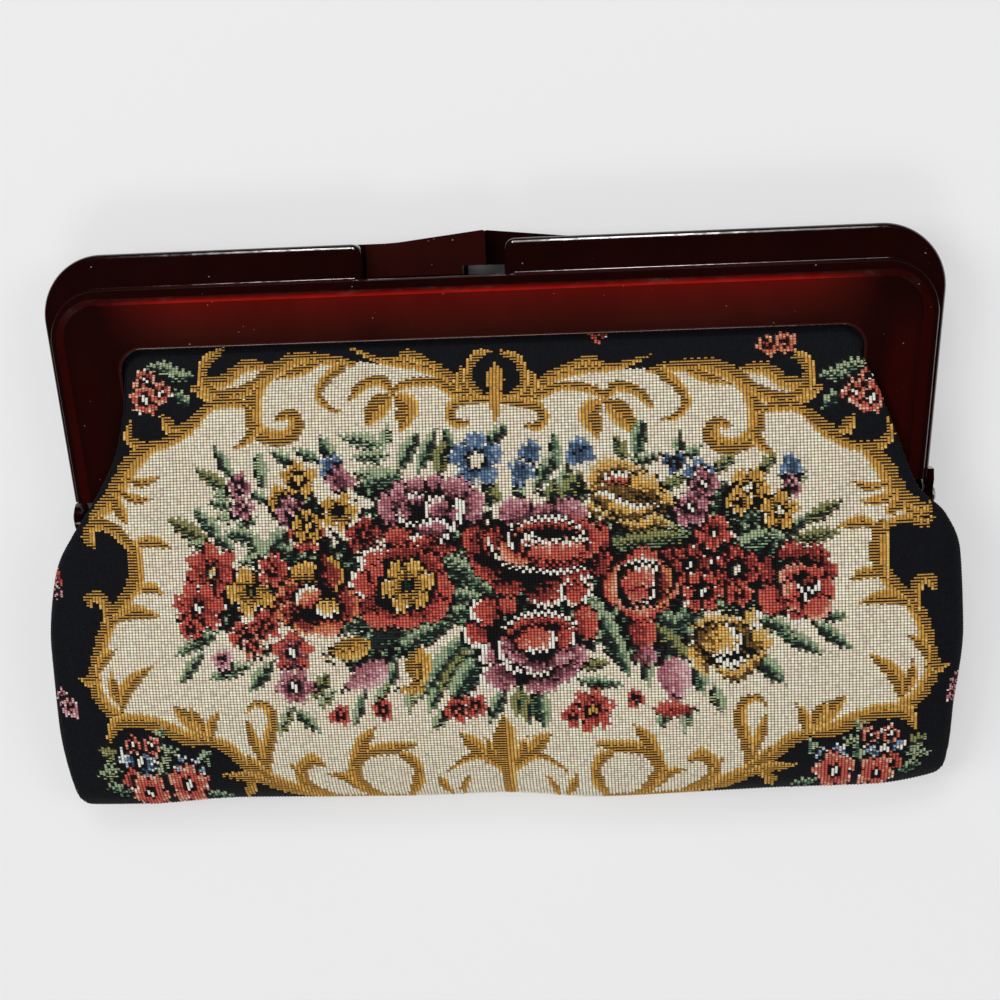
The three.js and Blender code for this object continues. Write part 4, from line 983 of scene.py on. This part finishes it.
def stitch_mesh(name, points, line, column, picks):
    """Raised stitches, one small hipped ridge in every given cell, one or two picks tall."""
    base, top, a, b, along = cell_shape(points, line, column, picks)
    ridge = np.where(along > 0.5, b * RIDGE_UPRIGHT, a * RIDGE_LYING)
    block = np.stack([base - a - b, base + a - b, base + a + b, base - a + b, top - ridge, top + ridge], 1)
    upright = np.array((0, 3, 5, 4, 1, 4, 5, 2, 0, 4, 1, 3, 2, 5))
    lying = np.array((0, 4, 5, 1, 3, 2, 5, 4, 0, 3, 4, 1, 5, 2))
    faces = np.where(along > 0.5, upright[None], lying[None])
    first = np.arange(len(line))[:, None]
    loops = (faces + first * 6).ravel()
    starts = (first * len(upright) + np.array([0, 4, 8, 11])[None]).ravel()
    shades = np.repeat(thread_colours(line, column)[:, None], 6, 1)
    # painted shade at the ridge's foot and a painted highlight on its crest
    shades *= np.repeat((RIDGE_FOOT_SHADE, RIDGE_CREST_HIGHLIGHT), (4, 2))[None, :, None]
    shades = np.minimum(shades, BRIGHTEST).reshape(-1, 3)
    return mesh_from_arrays(name, block.reshape(-1, 3), loops, starts, shades)


def base_mesh(name, points, inside, inward, depth, coloured):
    """The ground cloth, one quad to two picks."""
    grid = points[::4, ::2]
    normal = np.cross(np.gradient(grid, axis=0), np.gradient(grid, axis=1))
    normal *= inward / np.maximum(np.linalg.norm(normal, axis=2, keepdims=True), 1e-9)
    held = inside[::4, ::2]
    grid = grid - normal * depth * held[..., None]
    touched = held[:-1, :-1] | held[1:, :-1] | held[:-1, 1:] | held[1:, 1:]
    line, column = np.nonzero(touched)
    width = grid.shape[1]
    a = line * width + column
    quads = np.stack([a, a + width, a + width + 1, a + 1], 1)
    if inward < 0:
        quads = quads[:, ::-1]
    used, packed = np.unique(quads, return_inverse=True)
    shown = np.pad(tone[::2], ((0, 1), (0, 1)), mode="edge").ravel()[used]
    if coloured:
        colours = PALETTE_LINEAR[shown] * BACK_SHARE
    else:
        sort = np.pad(kind[::2], ((0, 1), (0, 1)), mode="edge").ravel()[used]
        # under coloured beads the ground takes the wool's colour darkened as painted shade
        colours = np.where(sort[:, None] == BEAD, PALETTE_LINEAR[shown] * UNDER_WOOL_SHADE, UNDER_DARK)
        colours[shown == CREAM] = UNDER_CREAM
    starts = np.arange(len(quads)) * 4
    return mesh_from_arrays(name, grid.reshape(-1, 3)[used], packed.ravel(), starts, colours)


# Materials
def new_material(name):
    material = bpy.data.materials.new(name)
    material.use_nodes = True
    return material, material.node_tree, material.node_tree.nodes["Principled BSDF"]


def fill(tree, node, sockets):
    """Links a node's inputs to other nodes' outputs, or sets them to values."""
    for name, value in sockets.items():
        if isinstance(value, bpy.types.NodeSocket):
            tree.links.new(value, node.inputs[name])
        else:
            node.inputs[name].default_value = value
    return node


def add_node(tree, sort, sockets, **settings):
    node = tree.nodes.new("ShaderNode" + sort)
    for name, value in settings.items():
        setattr(node, name, value)
    return fill(tree, node, sockets)


def thread_material(name, grain):
    material, tree, shader = new_material(name)
    colour = add_node(tree, "Attribute", {}, attribute_name="thread").outputs["Color"]
    coord = add_node(tree, "TexCoord", {}).outputs["Object"]
    noise = add_node(tree, "TexNoise", {"Vector": coord, "Scale": grain, "Detail": 4}).outputs["Fac"]
    mottle = add_node(tree, "MapRange", {"Value": noise, "To Min": 0.82, "To Max": 1.14}).outputs["Result"]
    wool_colour = add_node(tree, "VectorMath", {0: colour, "Scale": mottle}, operation="SCALE")
    fibres = add_node(tree, "Bump", {"Height": noise, "Strength": 0.25, "Distance": 0.2 * MM})
    fill(tree, shader, {
        "Base Color": wool_colour.outputs["Vector"],
        "Normal": fibres.outputs["Normal"],
        "Roughness": 0.82,
        "Specular IOR Level": 0.1,
        "Sheen Weight": 0.03,
    })
    return material


def plastic_material():
    """Dark clear plastic, a little mottled, with dust in patches and a faint wave in its polish; its colour,
    painted light and shade included, is read from the colours stored with the frame.
    """
    material, tree, shader = new_material("ruby plastic")
    colour = add_node(tree, "Attribute", {}, attribute_name="tint_and_light").outputs["Color"]
    coord = add_node(tree, "TexCoord", {}).outputs["Object"]

    def noise(scale, detail):
        return add_node(tree, "TexNoise", {"Vector": coord, "Scale": scale, "Detail": detail}).outputs["Fac"]

    def graded(value, low, high, to_low, to_high):
        sockets = {"Value": value, "From Min": low, "From Max": high, "To Min": to_low, "To Max": to_high}
        return add_node(tree, "MapRange", sockets).outputs["Result"]

    mottle = graded(noise(60, 3), 0, 1, 0.65, 1.35)
    shade = add_node(tree, "VectorMath", {0: colour, "Scale": mottle}, operation="SCALE")
    dots = add_node(tree, "TexVoronoi", {"Vector": coord, "Scale": 420}).outputs["Distance"]
    dust = add_node(tree, "Math", {
        0: graded(dots, 0.1, 0.07, 0, 1),
        1: graded(noise(130, 2), 0.6, 0.66, 0, 1),
    }, operation="MULTIPLY")
    mix = add_node(tree, "Mix", {
        "Factor": dust.outputs["Value"],
        "A": shade.outputs["Vector"],
        "B": (0.3, 0.25, 0.22, 1),
    }, data_type="RGBA")
    wave = add_node(tree, "Bump", {"Height": noise(110, 2), "Strength": 0.35, "Distance": 0.6 * MM})
    fill(tree, shader, {
        "Base Color": mix.outputs["Result"],
        "Roughness": graded(noise(300, 5), 0, 1, 0.05, 0.16),
        "Normal": wave.outputs["Normal"],
        "IOR": 1.5,
    })
    return material


def metal_material():
    material, tree, shader = new_material("pin metal")
    noise = add_node(tree, "TexNoise", {"Scale": 900}).outputs["Fac"]
    rough = add_node(tree, "MapRange", {"Value": noise, "To Min": 0.25, "To Max": 0.45}).outputs["Result"]
    fill(tree, shader, {"Roughness": rough, "Base Color": (0.42, 0.38, 0.32, 1), "Metallic": 1})
    return material


THREAD_GRAIN = 900
thread = thread_material("tapestry thread", THREAD_GRAIN)
plastic = plastic_material()
metal = metal_material()


# Frame: the part's rails with finer corners and rounded edges
FRAME_TOP = 90
PARTING = 13
ARM_END_HALF = 137.5
ARM_END_Y = 10
SHOULDER_HALF = 144
SHOULDER_Y = 70.5
ARM_SLOPE = (SHOULDER_HALF - ARM_END_HALF) / (SHOULDER_Y - ARM_END_Y)
BAR_STEPS = 24
CORNER_STEPS = 22
ARM_STEPS = 10
GAP = 0.15
# inset from the top edge, inset from the arm's outer edge, corner radius, height above the parting plane
RAILS = (
    (0, 0, 19.5, GAP), (0, 0, 19.5, 7.3), (0.15, 0.12, 19.3, 8), (0.45, 0.3, 19.1, 8.5),
    (0.95, 0.5, 18.6, 8.83), (1.8, 0.7, 17.8, 9.05), (2.6, 0.8, 17.1, 9.1), (10.5, 1.1, 16.2, 9.1),
    (10.85, 1.25, 16, 9.25), (11.7, 1.85, 15.4, 10.8), (11.82, 1.95, 15.3, 10.9), (14.2, 3.4, 13.2, 10.9),
    (15.3, 5.1, 11.8, 11.95), (16.4, 6.8, 10.4, 13), (20, 10, 10, 13), (23.5, 14.5, 9.2, 13),
    (27, 19, 8.2, 13), (30.2, 23.1, 7.2, 13), (30.7, 23.7, 6.9, 12.8), (31, 24, 6.6, 12.4),
    (31, 24, 6.6, 10), (18.2, 8.6, 9.4, 10), (13, 4.4, 13, 7), (3.2, 3.2, 16.5, 6), (3.2, 3.2, 16.5, GAP),
)


# the clasp's recess between the two band ends: its edges, their rounding, floor and open top
RECESS_LEFT = -38.7
RECESS_RIGHT = 6.5
RECESS_ROUND = 3.5
RECESS_FLOOR = 78.9
RECESS_TOP = 96
RECESS_LOW, RECESS_HIGH = -1, 26
RIM_RAILS = RAILS[1:7]
# the clasp's tab and the block that joins it to the band: outline, lower and upper side
HOOK = (
    (-0.4, 81.9), (7.2, 81.9), (7.2, 79.3), (38.2, 79.3), (38.2, 89.6), (27.3, 90.1), (0.4, 93), (-0.4, 92.6),
)
HOOK_LOW, HOOK_HIGH = -4.4, -0.2
ROOT = ((7.2, 79.3), (38.2, 79.3), (38.2, 89), (7.2, 89))
ROOT_LOW, ROOT_HIGH = -2.2, 8
# the hinge: height of the pins, round end of a lug, its neck, its inner faces and the bore
HINGE_Y = 4
LUG_RADIUS = 5
LUG_NECK = ((13, 0.3), (13, 8.5), (9.5, 8.5))
LUG_THICK = 2.8
LUG_FACES = (136.6, -133.5 - LUG_THICK)
BORE_RADIUS = 1.6
BORE_REACH = 160
# rounding of the sharp edges, and the angles from which an edge is rounded or drawn sharp
EDGE_ROUND = 0.22
ROUND_ANGLE = 55
SHARP_ANGLE = 30


def rail_path(top, side, radius):
    """One rail of the moulding from the left arm's end over the bar to the right arm's end."""
    lean = math.hypot(1, ARM_SLOPE)
    end_half = ARM_END_HALF - side
    centre_y = FRAME_TOP - top - radius
    centre_x = end_half + ARM_SLOPE * (centre_y - ARM_END_Y) - radius * lean
    last = -math.atan(ARM_SLOPE)
    right = [(centre_x * k / BAR_STEPS, FRAME_TOP - top) for k in range(BAR_STEPS)]
    for k in range(CORNER_STEPS + 1):
        angle = math.pi / 2 + (last - math.pi / 2) * k / CORNER_STEPS
        right.append((centre_x + radius * math.cos(angle), centre_y + radius * math.sin(angle)))
    foot = right[-1]
    for k in range(1, ARM_STEPS + 1):
        out, down = (end_half - foot[0]) * k / ARM_STEPS, (ARM_END_Y - foot[1]) * k / ARM_STEPS
        right.append((foot[0] + out, foot[1] + down))
    return [(-x, y) for x, y in right[:0:-1]] + right


def object_from_faces(name, points, faces):
    mesh = bpy.data.meshes.new(name)
    mesh.from_pydata([Vector(p) * MM for p in points], [], faces)
    shape = bmesh.new()
    shape.from_mesh(mesh)
    bmesh.ops.recalc_face_normals(shape, faces=shape.faces)
    shape.to_mesh(mesh)
    shape.free()
    return add_object(name, mesh)


def upright(p, q, r):
    return p, q, r


def sideways(p, q, r):
    return r, p, q


def loft(name, levels, axes=upright):
    """A solid through outlines of equal length, each with its height."""
    count = len(levels[0][1])
    points = [axes(p, q, height) for height, outline in levels for p, q in outline]
    faces = [tuple(range(count))[::-1], tuple(range(len(points) - count, len(points)))]
    for first in range(0, len(points) - count, count):
        faces += [
            (first + k, first + (k + 1) % count, first + count + (k + 1) % count, first + count + k)
            for k in range(count)
        ]
    return object_from_faces(name, points, faces)


def slab(name, outline, low, high, axes=upright):
    """A plate with the given outline between two heights."""
    return loft(name, ((low, outline), (high, outline)), axes)


def recess_outline(inset):
    """The gap between the two band ends; the inset rounds their edges as it does the rim."""
    round_y, radius = FRAME_TOP - RECESS_ROUND, RECESS_ROUND - inset
    left_x, right_x = RECESS_LEFT - RECESS_ROUND, RECESS_RIGHT + RECESS_ROUND
    left = [(left_x, RECESS_TOP)] + arc(left_x, round_y, radius, 90, 0, 8)
    right = arc(right_x, round_y, radius, 180, 90, 8) + [(right_x, RECESS_TOP)]
    return left + [(RECESS_LEFT - inset, RECESS_FLOOR), (RECESS_RIGHT + inset, RECESS_FLOOR)] + right


def arc(cx, cy, radius, start, end, steps):
    turns = [math.radians(start + (end - start) * k / steps) for k in range(steps + 1)]
    return [(cx + radius * math.cos(a), cy + radius * math.sin(a)) for a in turns]


def combine(piece, other, operation):
    change = piece.modifiers.new("cut", "BOOLEAN")
    change.operation = operation
    change.object = other
    change.solver = "EXACT"
    settle(piece)
    bpy.data.objects.remove(other)


def settle(piece):
    """Makes a piece's modifiers part of its mesh."""
    graph = bpy.context.evaluated_depsgraph_get()
    mesh = bpy.data.meshes.new_from_object(piece.evaluated_get(graph))
    piece.modifiers.clear()
    piece.data = mesh


def frame_half(name):
    """One half of the frame, standing on the parting plane: swept moulding, clasp and hinge lugs."""
    paths = [rail_path(*rail[:3]) for rail in RAILS]
    stations, rails = len(paths[0]), len(RAILS)
    points = [(*paths[r][s], RAILS[r][3]) for s in range(stations) for r in range(rails)]
    faces = [
        (s * rails + r, s * rails + (r + 1) % rails, (s + 1) * rails + (r + 1) % rails, (s + 1) * rails + r)
        for s in range(stations - 1) for r in range(rails)
    ]
    faces += [tuple(range(rails)), tuple(range((stations - 1) * rails, stations * rails))[::-1]]
    body = object_from_faces(name, points, faces)
    rim = [(rail[3], rail[0]) for rail in RIM_RAILS]
    levels = [(RECESS_LOW, 0)] + rim + [(RECESS_HIGH, rim[-1][1])]
    combine(body, loft("recess", [(height, recess_outline(inset)) for height, inset in levels]), "DIFFERENCE")
    combine(body, slab("hook", HOOK, HOOK_LOW, HOOK_HIGH), "UNION")
    combine(body, slab("root", ROOT, ROOT_LOW, ROOT_HIGH), "UNION")
    lug = [*LUG_NECK] + arc(HINGE_Y, 0, LUG_RADIUS, 70, 362, 40)
    for inner in LUG_FACES:
        combine(body, slab("lug", lug, inner, inner + LUG_THICK, sideways), "UNION")
    bore = arc(HINGE_Y, 0, BORE_RADIUS, 0, 360 - 15, 23)
    combine(body, slab("bore", bore, -BORE_REACH, BORE_REACH, sideways), "DIFFERENCE")
    edge = body.modifiers.new("edge", "BEVEL")
    edge.width = EDGE_ROUND * MM
    edge.segments = 2
    edge.limit_method = "ANGLE"
    edge.angle_limit = math.radians(ROUND_ANGLE)
    settle(body)
    body.data.polygons.foreach_set("use_smooth", np.ones(len(body.data.polygons), bool))
    body.data.set_sharp_from_angle(angle=math.radians(SHARP_ANGLE))
    body.modifiers.new("normals", "WEIGHTED_NORMAL").keep_sharp = True
    settle(body)
    return body


# colours of the clear dark plastic: its body and its hook, and painted light, lit and unlit copies on riser,
# bevel, face, arms and lip
PLASTIC_COLOURS_AND_LIGHT = {
    "body": (24, 5, 4), "lit riser": (50, 17, 14), "bevel": (40, 6, 5), "lit bevel": (166, 20, 12),
    "hook": (40, 11, 9), "face": (46, 15, 11), "lit face": (84, 13, 9), "lit arm": (74, 10, 7),
    "lit lip": (58, 26, 21),
}
# heights of the moulding's parts above the parting plane, and the upward share of a normal from which a face
# counts as flat
RISER_LOW, RISER_HIGH = 9.2, 10.8
BEVEL_LOW, BEVEL_HIGH = 10.95, 12.98
LIP_LOW, FACE_LOW = 11, 12.97
FLAT = 0.97


def read(items, attribute, width, sort=float):
    """A number or a vector from each face, corner or point of a mesh."""
    values = np.empty(len(items) * width, sort)
    items.foreach_get(attribute, values)
    return values.reshape(-1, width) if width > 1 else values


def fade(value, start, length):
    return np.clip((value - start) / length, 0, 1)


def tint_and_light_frame(piece):
    """Stores the plastic's colours, painted light and shade included, with each corner of each face."""
    mesh = piece.data
    owner = np.repeat(np.arange(len(mesh.polygons)), read(mesh.polygons, "loop_total", 1, np.int32))
    nz = read(mesh.polygons, "normal", 3)[owner, 2]
    _, mid_y, mid = (read(mesh.polygons, "center", 3) / MM)[owner].T
    corner = read(mesh.loops, "vertex_index", 1, np.int32)
    x, y, z = (read(mesh.vertices, "co", 3) / MM)[corner].T
    top_inset = FRAME_TOP - y
    side_inset = ARM_END_HALF + ARM_SLOPE * (y - ARM_END_Y) - np.abs(x)
    # painted light: the bar is lit brightest in its middle and fades out towards the corners, the arms the
    # other way round
    bar = fade(y, 52, 12) * fade(-np.abs(x), -124, 26)
    arm = 1 - fade(y, 48, 20)
    # place on the flat face, from its outer edge to the mouth
    across = np.clip(np.minimum((top_inset - 16.4) / 14, (side_inset - 6.8) / 16.5), 0, 1)
    colours = np.tile(linear(PLASTIC_COLOURS_AND_LIGHT["body"]), (len(corner), 1))

    def blend_in(mask, tint_and_light, share):
        part = np.broadcast_to(share, mask.shape)[mask][:, None]
        colours[mask] = colours[mask] * (1 - part) + linear(PLASTIC_COLOURS_AND_LIGHT[tint_and_light]) * part

    # painted highlight on the riser, strongest where the bar is lit
    blend_in((mid > RISER_LOW) & (mid < RISER_HIGH) & (nz < FLAT), "lit riser", 0.3 + 0.7 * bar)
    # painted light on the bevel: a dim copy away from the bar, a red glow where the bar is lit
    bevel = (mid > BEVEL_LOW) & (mid < BEVEL_HIGH) & (nz > 0.3) & (nz < FLAT)
    bevel &= ((mid_y > 0) & (side_inset < 8.5)) | (top_inset < 17)
    blend_in(bevel, "bevel", 1 - bar)
    blend_in(bevel, "lit bevel", fade(z, 11, 2)**1.8 * bar)
    blend_in((nz < -0.9) & (mid_y > 78) & (mid < 0), "hook", 1)
    face = mid > FACE_LOW
    # painted reflection on the face, a painted glow near its outer edge, and a painted highlight streak on
    # the arms
    blend_in(face, "face", bar)
    blend_in(face, "lit face", bar * (1 - across) ** 1.6)
    streak = np.exp(-(((across - 0.32) / 0.22) ** 2))
    blend_in(face, "lit arm", arm * np.where(x > 0, 0.3, 0.1) * streak)
    # painted highlight on the lip, strongest where the bar is lit
    blend_in((mid > LIP_LOW) & (mid < FACE_LOW) & ~bevel & (nz > 0.2), "lit lip", 0.4 + 0.6 * bar)
    paint(mesh, "tint_and_light", "CORNER", colours)


half = frame_half("frame_front_shell")
tint_and_light_frame(half)
half.data.materials.clear()
half.data.materials.append(plastic)
rear = add_object("frame_rear_shell", half.data.copy())
rise = Matrix.Translation((0, 0, PARTING * MM))
rear.data.transform(rise @ Matrix.Rotation(math.pi, 4, "Y"))
half.data.transform(rise)
for piece, node in ((half, "frame_front"), (rear, "frame_rear")):
    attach(piece, "root")
    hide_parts(node)
for name in ("hinge_pin_left", "hinge_pin_right"):
    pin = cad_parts[name]
    pin.data.materials.clear()
    pin.data.materials.append(metal)


# Tapestry panels
# how far the ground cloth lies below the solid's surface, in front and on the plain back
FRONT_DEPTH = 0.2
BACK_DEPTH = 0.05


def stitches(name, points, inside):
    """All the raised stitches of a panel, sorted into ground, field, scrolls and flowers."""
    even, odd = slice(0, None, 2), slice(1, None, 2)
    same = (tone[even] == tone[odd]) & (kind[even] == kind[odd]) & (kind[even] != HATCH)
    cream = tone == CREAM
    metal_thread = np.isin(tone, [TONES.index(t) for t in ("gold", "honey")])
    tall = same & inside[:-1:4, 1::2] & inside[4::4, 1::2] & inside[2::4, :-1:2] & inside[2::4, 2::2]
    short = ~np.repeat(tall, 2, 0) & inside[:-1:2, 1::2] & inside[2::2, 1::2]
    short &= inside[1::2, :-1:2] & inside[1::2, 2::2]
    short[odd] &= kind[odd] != HATCH
    sets = {
        "ground": kind == GROUND,
        "field": cream,
        "scrolls": metal_thread,
        "flowers": (kind == BEAD) & ~cream & ~metal_thread,
        "leaves": (kind == HATCH) & ~cream & ~metal_thread,
        "rims": (kind == RIB) & ~cream & ~metal_thread,
    }
    made = []
    for label, chosen in sets.items():
        line, column = np.nonzero(tall & chosen[even])
        one, two = np.nonzero(short & chosen)
        for part, picks, where in (("long", 2, (2 * line, column)), ("short", 1, (one, two))):
            if len(where[0]):
                piece_name = f"{name}_{label}_{part}"
                make = bead_mesh if label in ("field", "flowers") else stitch_mesh
                mesh = make(piece_name, points, *where, picks)
                made.append(add_object(piece_name, mesh, thread))
    return made


def panel(name, rows, folded, inward, node):
    """A cloth panel: the ground sheet, and on the front one its stitches."""
    points, inside = cloth_grid(rows, folded)
    flat_back = inward < 0
    base = base_mesh(name, points, inside, inward, BACK_DEPTH if flat_back else FRONT_DEPTH, flat_back)
    made = [add_object(name, base, thread)]
    if not flat_back:
        made += stitches(name, points, inside)
    for piece in made:
        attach(piece, "root")
        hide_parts(node)
    return made


front = panel("tapestry_front", FRONT_ROWS, True, 1, "bag_front")
back = panel("tapestry_back", BACK_ROWS, False, -1, "bag_back")

# Floor, light and camera, in metres
# rings of the floor from under the bag outwards: half width, near edge, far edge, share lit from below
# the floor glows evenly, which softens the bag's shadows on it; under the bag the glow fades out, a painted
# shadow
FLOOR_RINGS = ((0.12, -0.07, 0.084, 0), (0.138, -0.086, 0.0885, 1), (4, -4, 4, 1))
FLOOR_DROP = 0.05 * MM
corners = []
for wide, near, far, _ in FLOOR_RINGS:
    corners += [(-wide, near, 0), (wide, near, 0), (wide, far, 0), (-wide, far, 0)]
quads = [(0, 1, 2, 3)]
for first in (0, 4):
    quads += [(first + k, first + 4 + k, first + 4 + (k + 1) % 4, first + (k + 1) % 4) for k in range(4)]
floor_mesh = bpy.data.meshes.new("floor")
floor_mesh.from_pydata(corners, [], quads)
lit = floor_mesh.attributes.new("lit", "FLOAT", "POINT")
lit.data.foreach_set("value", np.repeat([ring[3] for ring in FLOOR_RINGS], 4).astype(np.float32))
pale, pale_tree, pale_shader = new_material("pale floor")
# the glow's strength is the share lit from below: nothing under the bag, a painted shadow
fill(pale_tree, pale_shader, {
    "Base Color": (0.42, 0.42, 0.422, 1),
    "Emission Color": (0.42, 0.42, 0.423, 1),
    "Emission Strength": add_node(pale_tree, "Attribute", {}, attribute_name="lit").outputs["Fac"],
    "Roughness": 0.9,
    "Specular IOR Level": 0.1,
})
floor = add_object("floor", floor_mesh, pale)
floor.location.z = -FLOOR_DROP


def area_light(name, place, size, power):
    """A rectangle of light that faces the bag."""
    data = bpy.data.lights.new(name, "AREA")
    data.shape = "RECTANGLE"
    data.size, data.size_y = size
    data.energy = power
    lamp = add_object(name, data)
    lamp.location = place
    lamp.rotation_mode = "QUATERNION"
    lamp.rotation_quaternion = (-Vector(place)).to_track_quat("-Z", "Y")
    return lamp


# the side lights show only faintly in the polished frame: name, place, size, power
GLINT = 0.2
for name, place, size, power in (
    ("left", (-1.92, 0.5, 2.4), (1.6, 1.6), 44),
    ("right", (2.08, 0.32, 2.24), (1.2, 1.2), 20),
):
    area_light(name, place, size, power * (1 - GLINT)).visible_glossy = False
    area_light(name + " glint", place, size, power * GLINT)
area_light("top", (-0.16, 1.92, 2.16), (1.28, 0.8), 20)
area_light("front", (-0.4, -2.08, 2.24), (1.4, 0.8), 19)
# two window panes that only show as glints on the polished rim: name, place across, width
PANE_TALL = 0.8
PANE_POWER = 80
for name, x, wide in (("left pane", -0.6, 0.13), ("right pane", 0, 0.26)):
    area_light(name, (x, 1.92, 2.16), (wide, PANE_TALL), PANE_POWER * wide).visible_diffuse = False

world = bpy.data.worlds.new("studio")
scene.world = world
world.use_nodes = True
world.node_tree.nodes["Background"].inputs["Color"].default_value = (0.25, 0.25, 0.252, 1)
world.cycles_visibility.glossy = False

# the camera as fitted to the photograph: degrees, the point it turns about, distance, then lens and
# sensor in millimetres
TILT, YAW, ROLL = 6.5, -5.416, 2.204
AIM = Vector((2.219, 6.658, 20)) * MM
DISTANCE = 0.6
LENS = 67.13
SENSOR = 36
tilt, yaw, roll = (math.radians(angle) for angle in (TILT, YAW, ROLL))
turn = Matrix.Rotation(roll, 3, "Z") @ Matrix.Rotation(tilt, 3, "X") @ Matrix.Rotation(yaw, 3, "Y")
back_turn = turn.transposed()
camera_data = bpy.data.cameras.new("camera")
camera_data.lens = LENS
camera_data.sensor_width = SENSOR
camera = add_object("camera", camera_data)
camera.matrix_world = Matrix.Translation(back_turn @ Vector((0, 0, DISTANCE)) + AIM) @ back_turn.to_4x4()
scene.camera = camera
scene.view_settings.view_transform = "Standard"
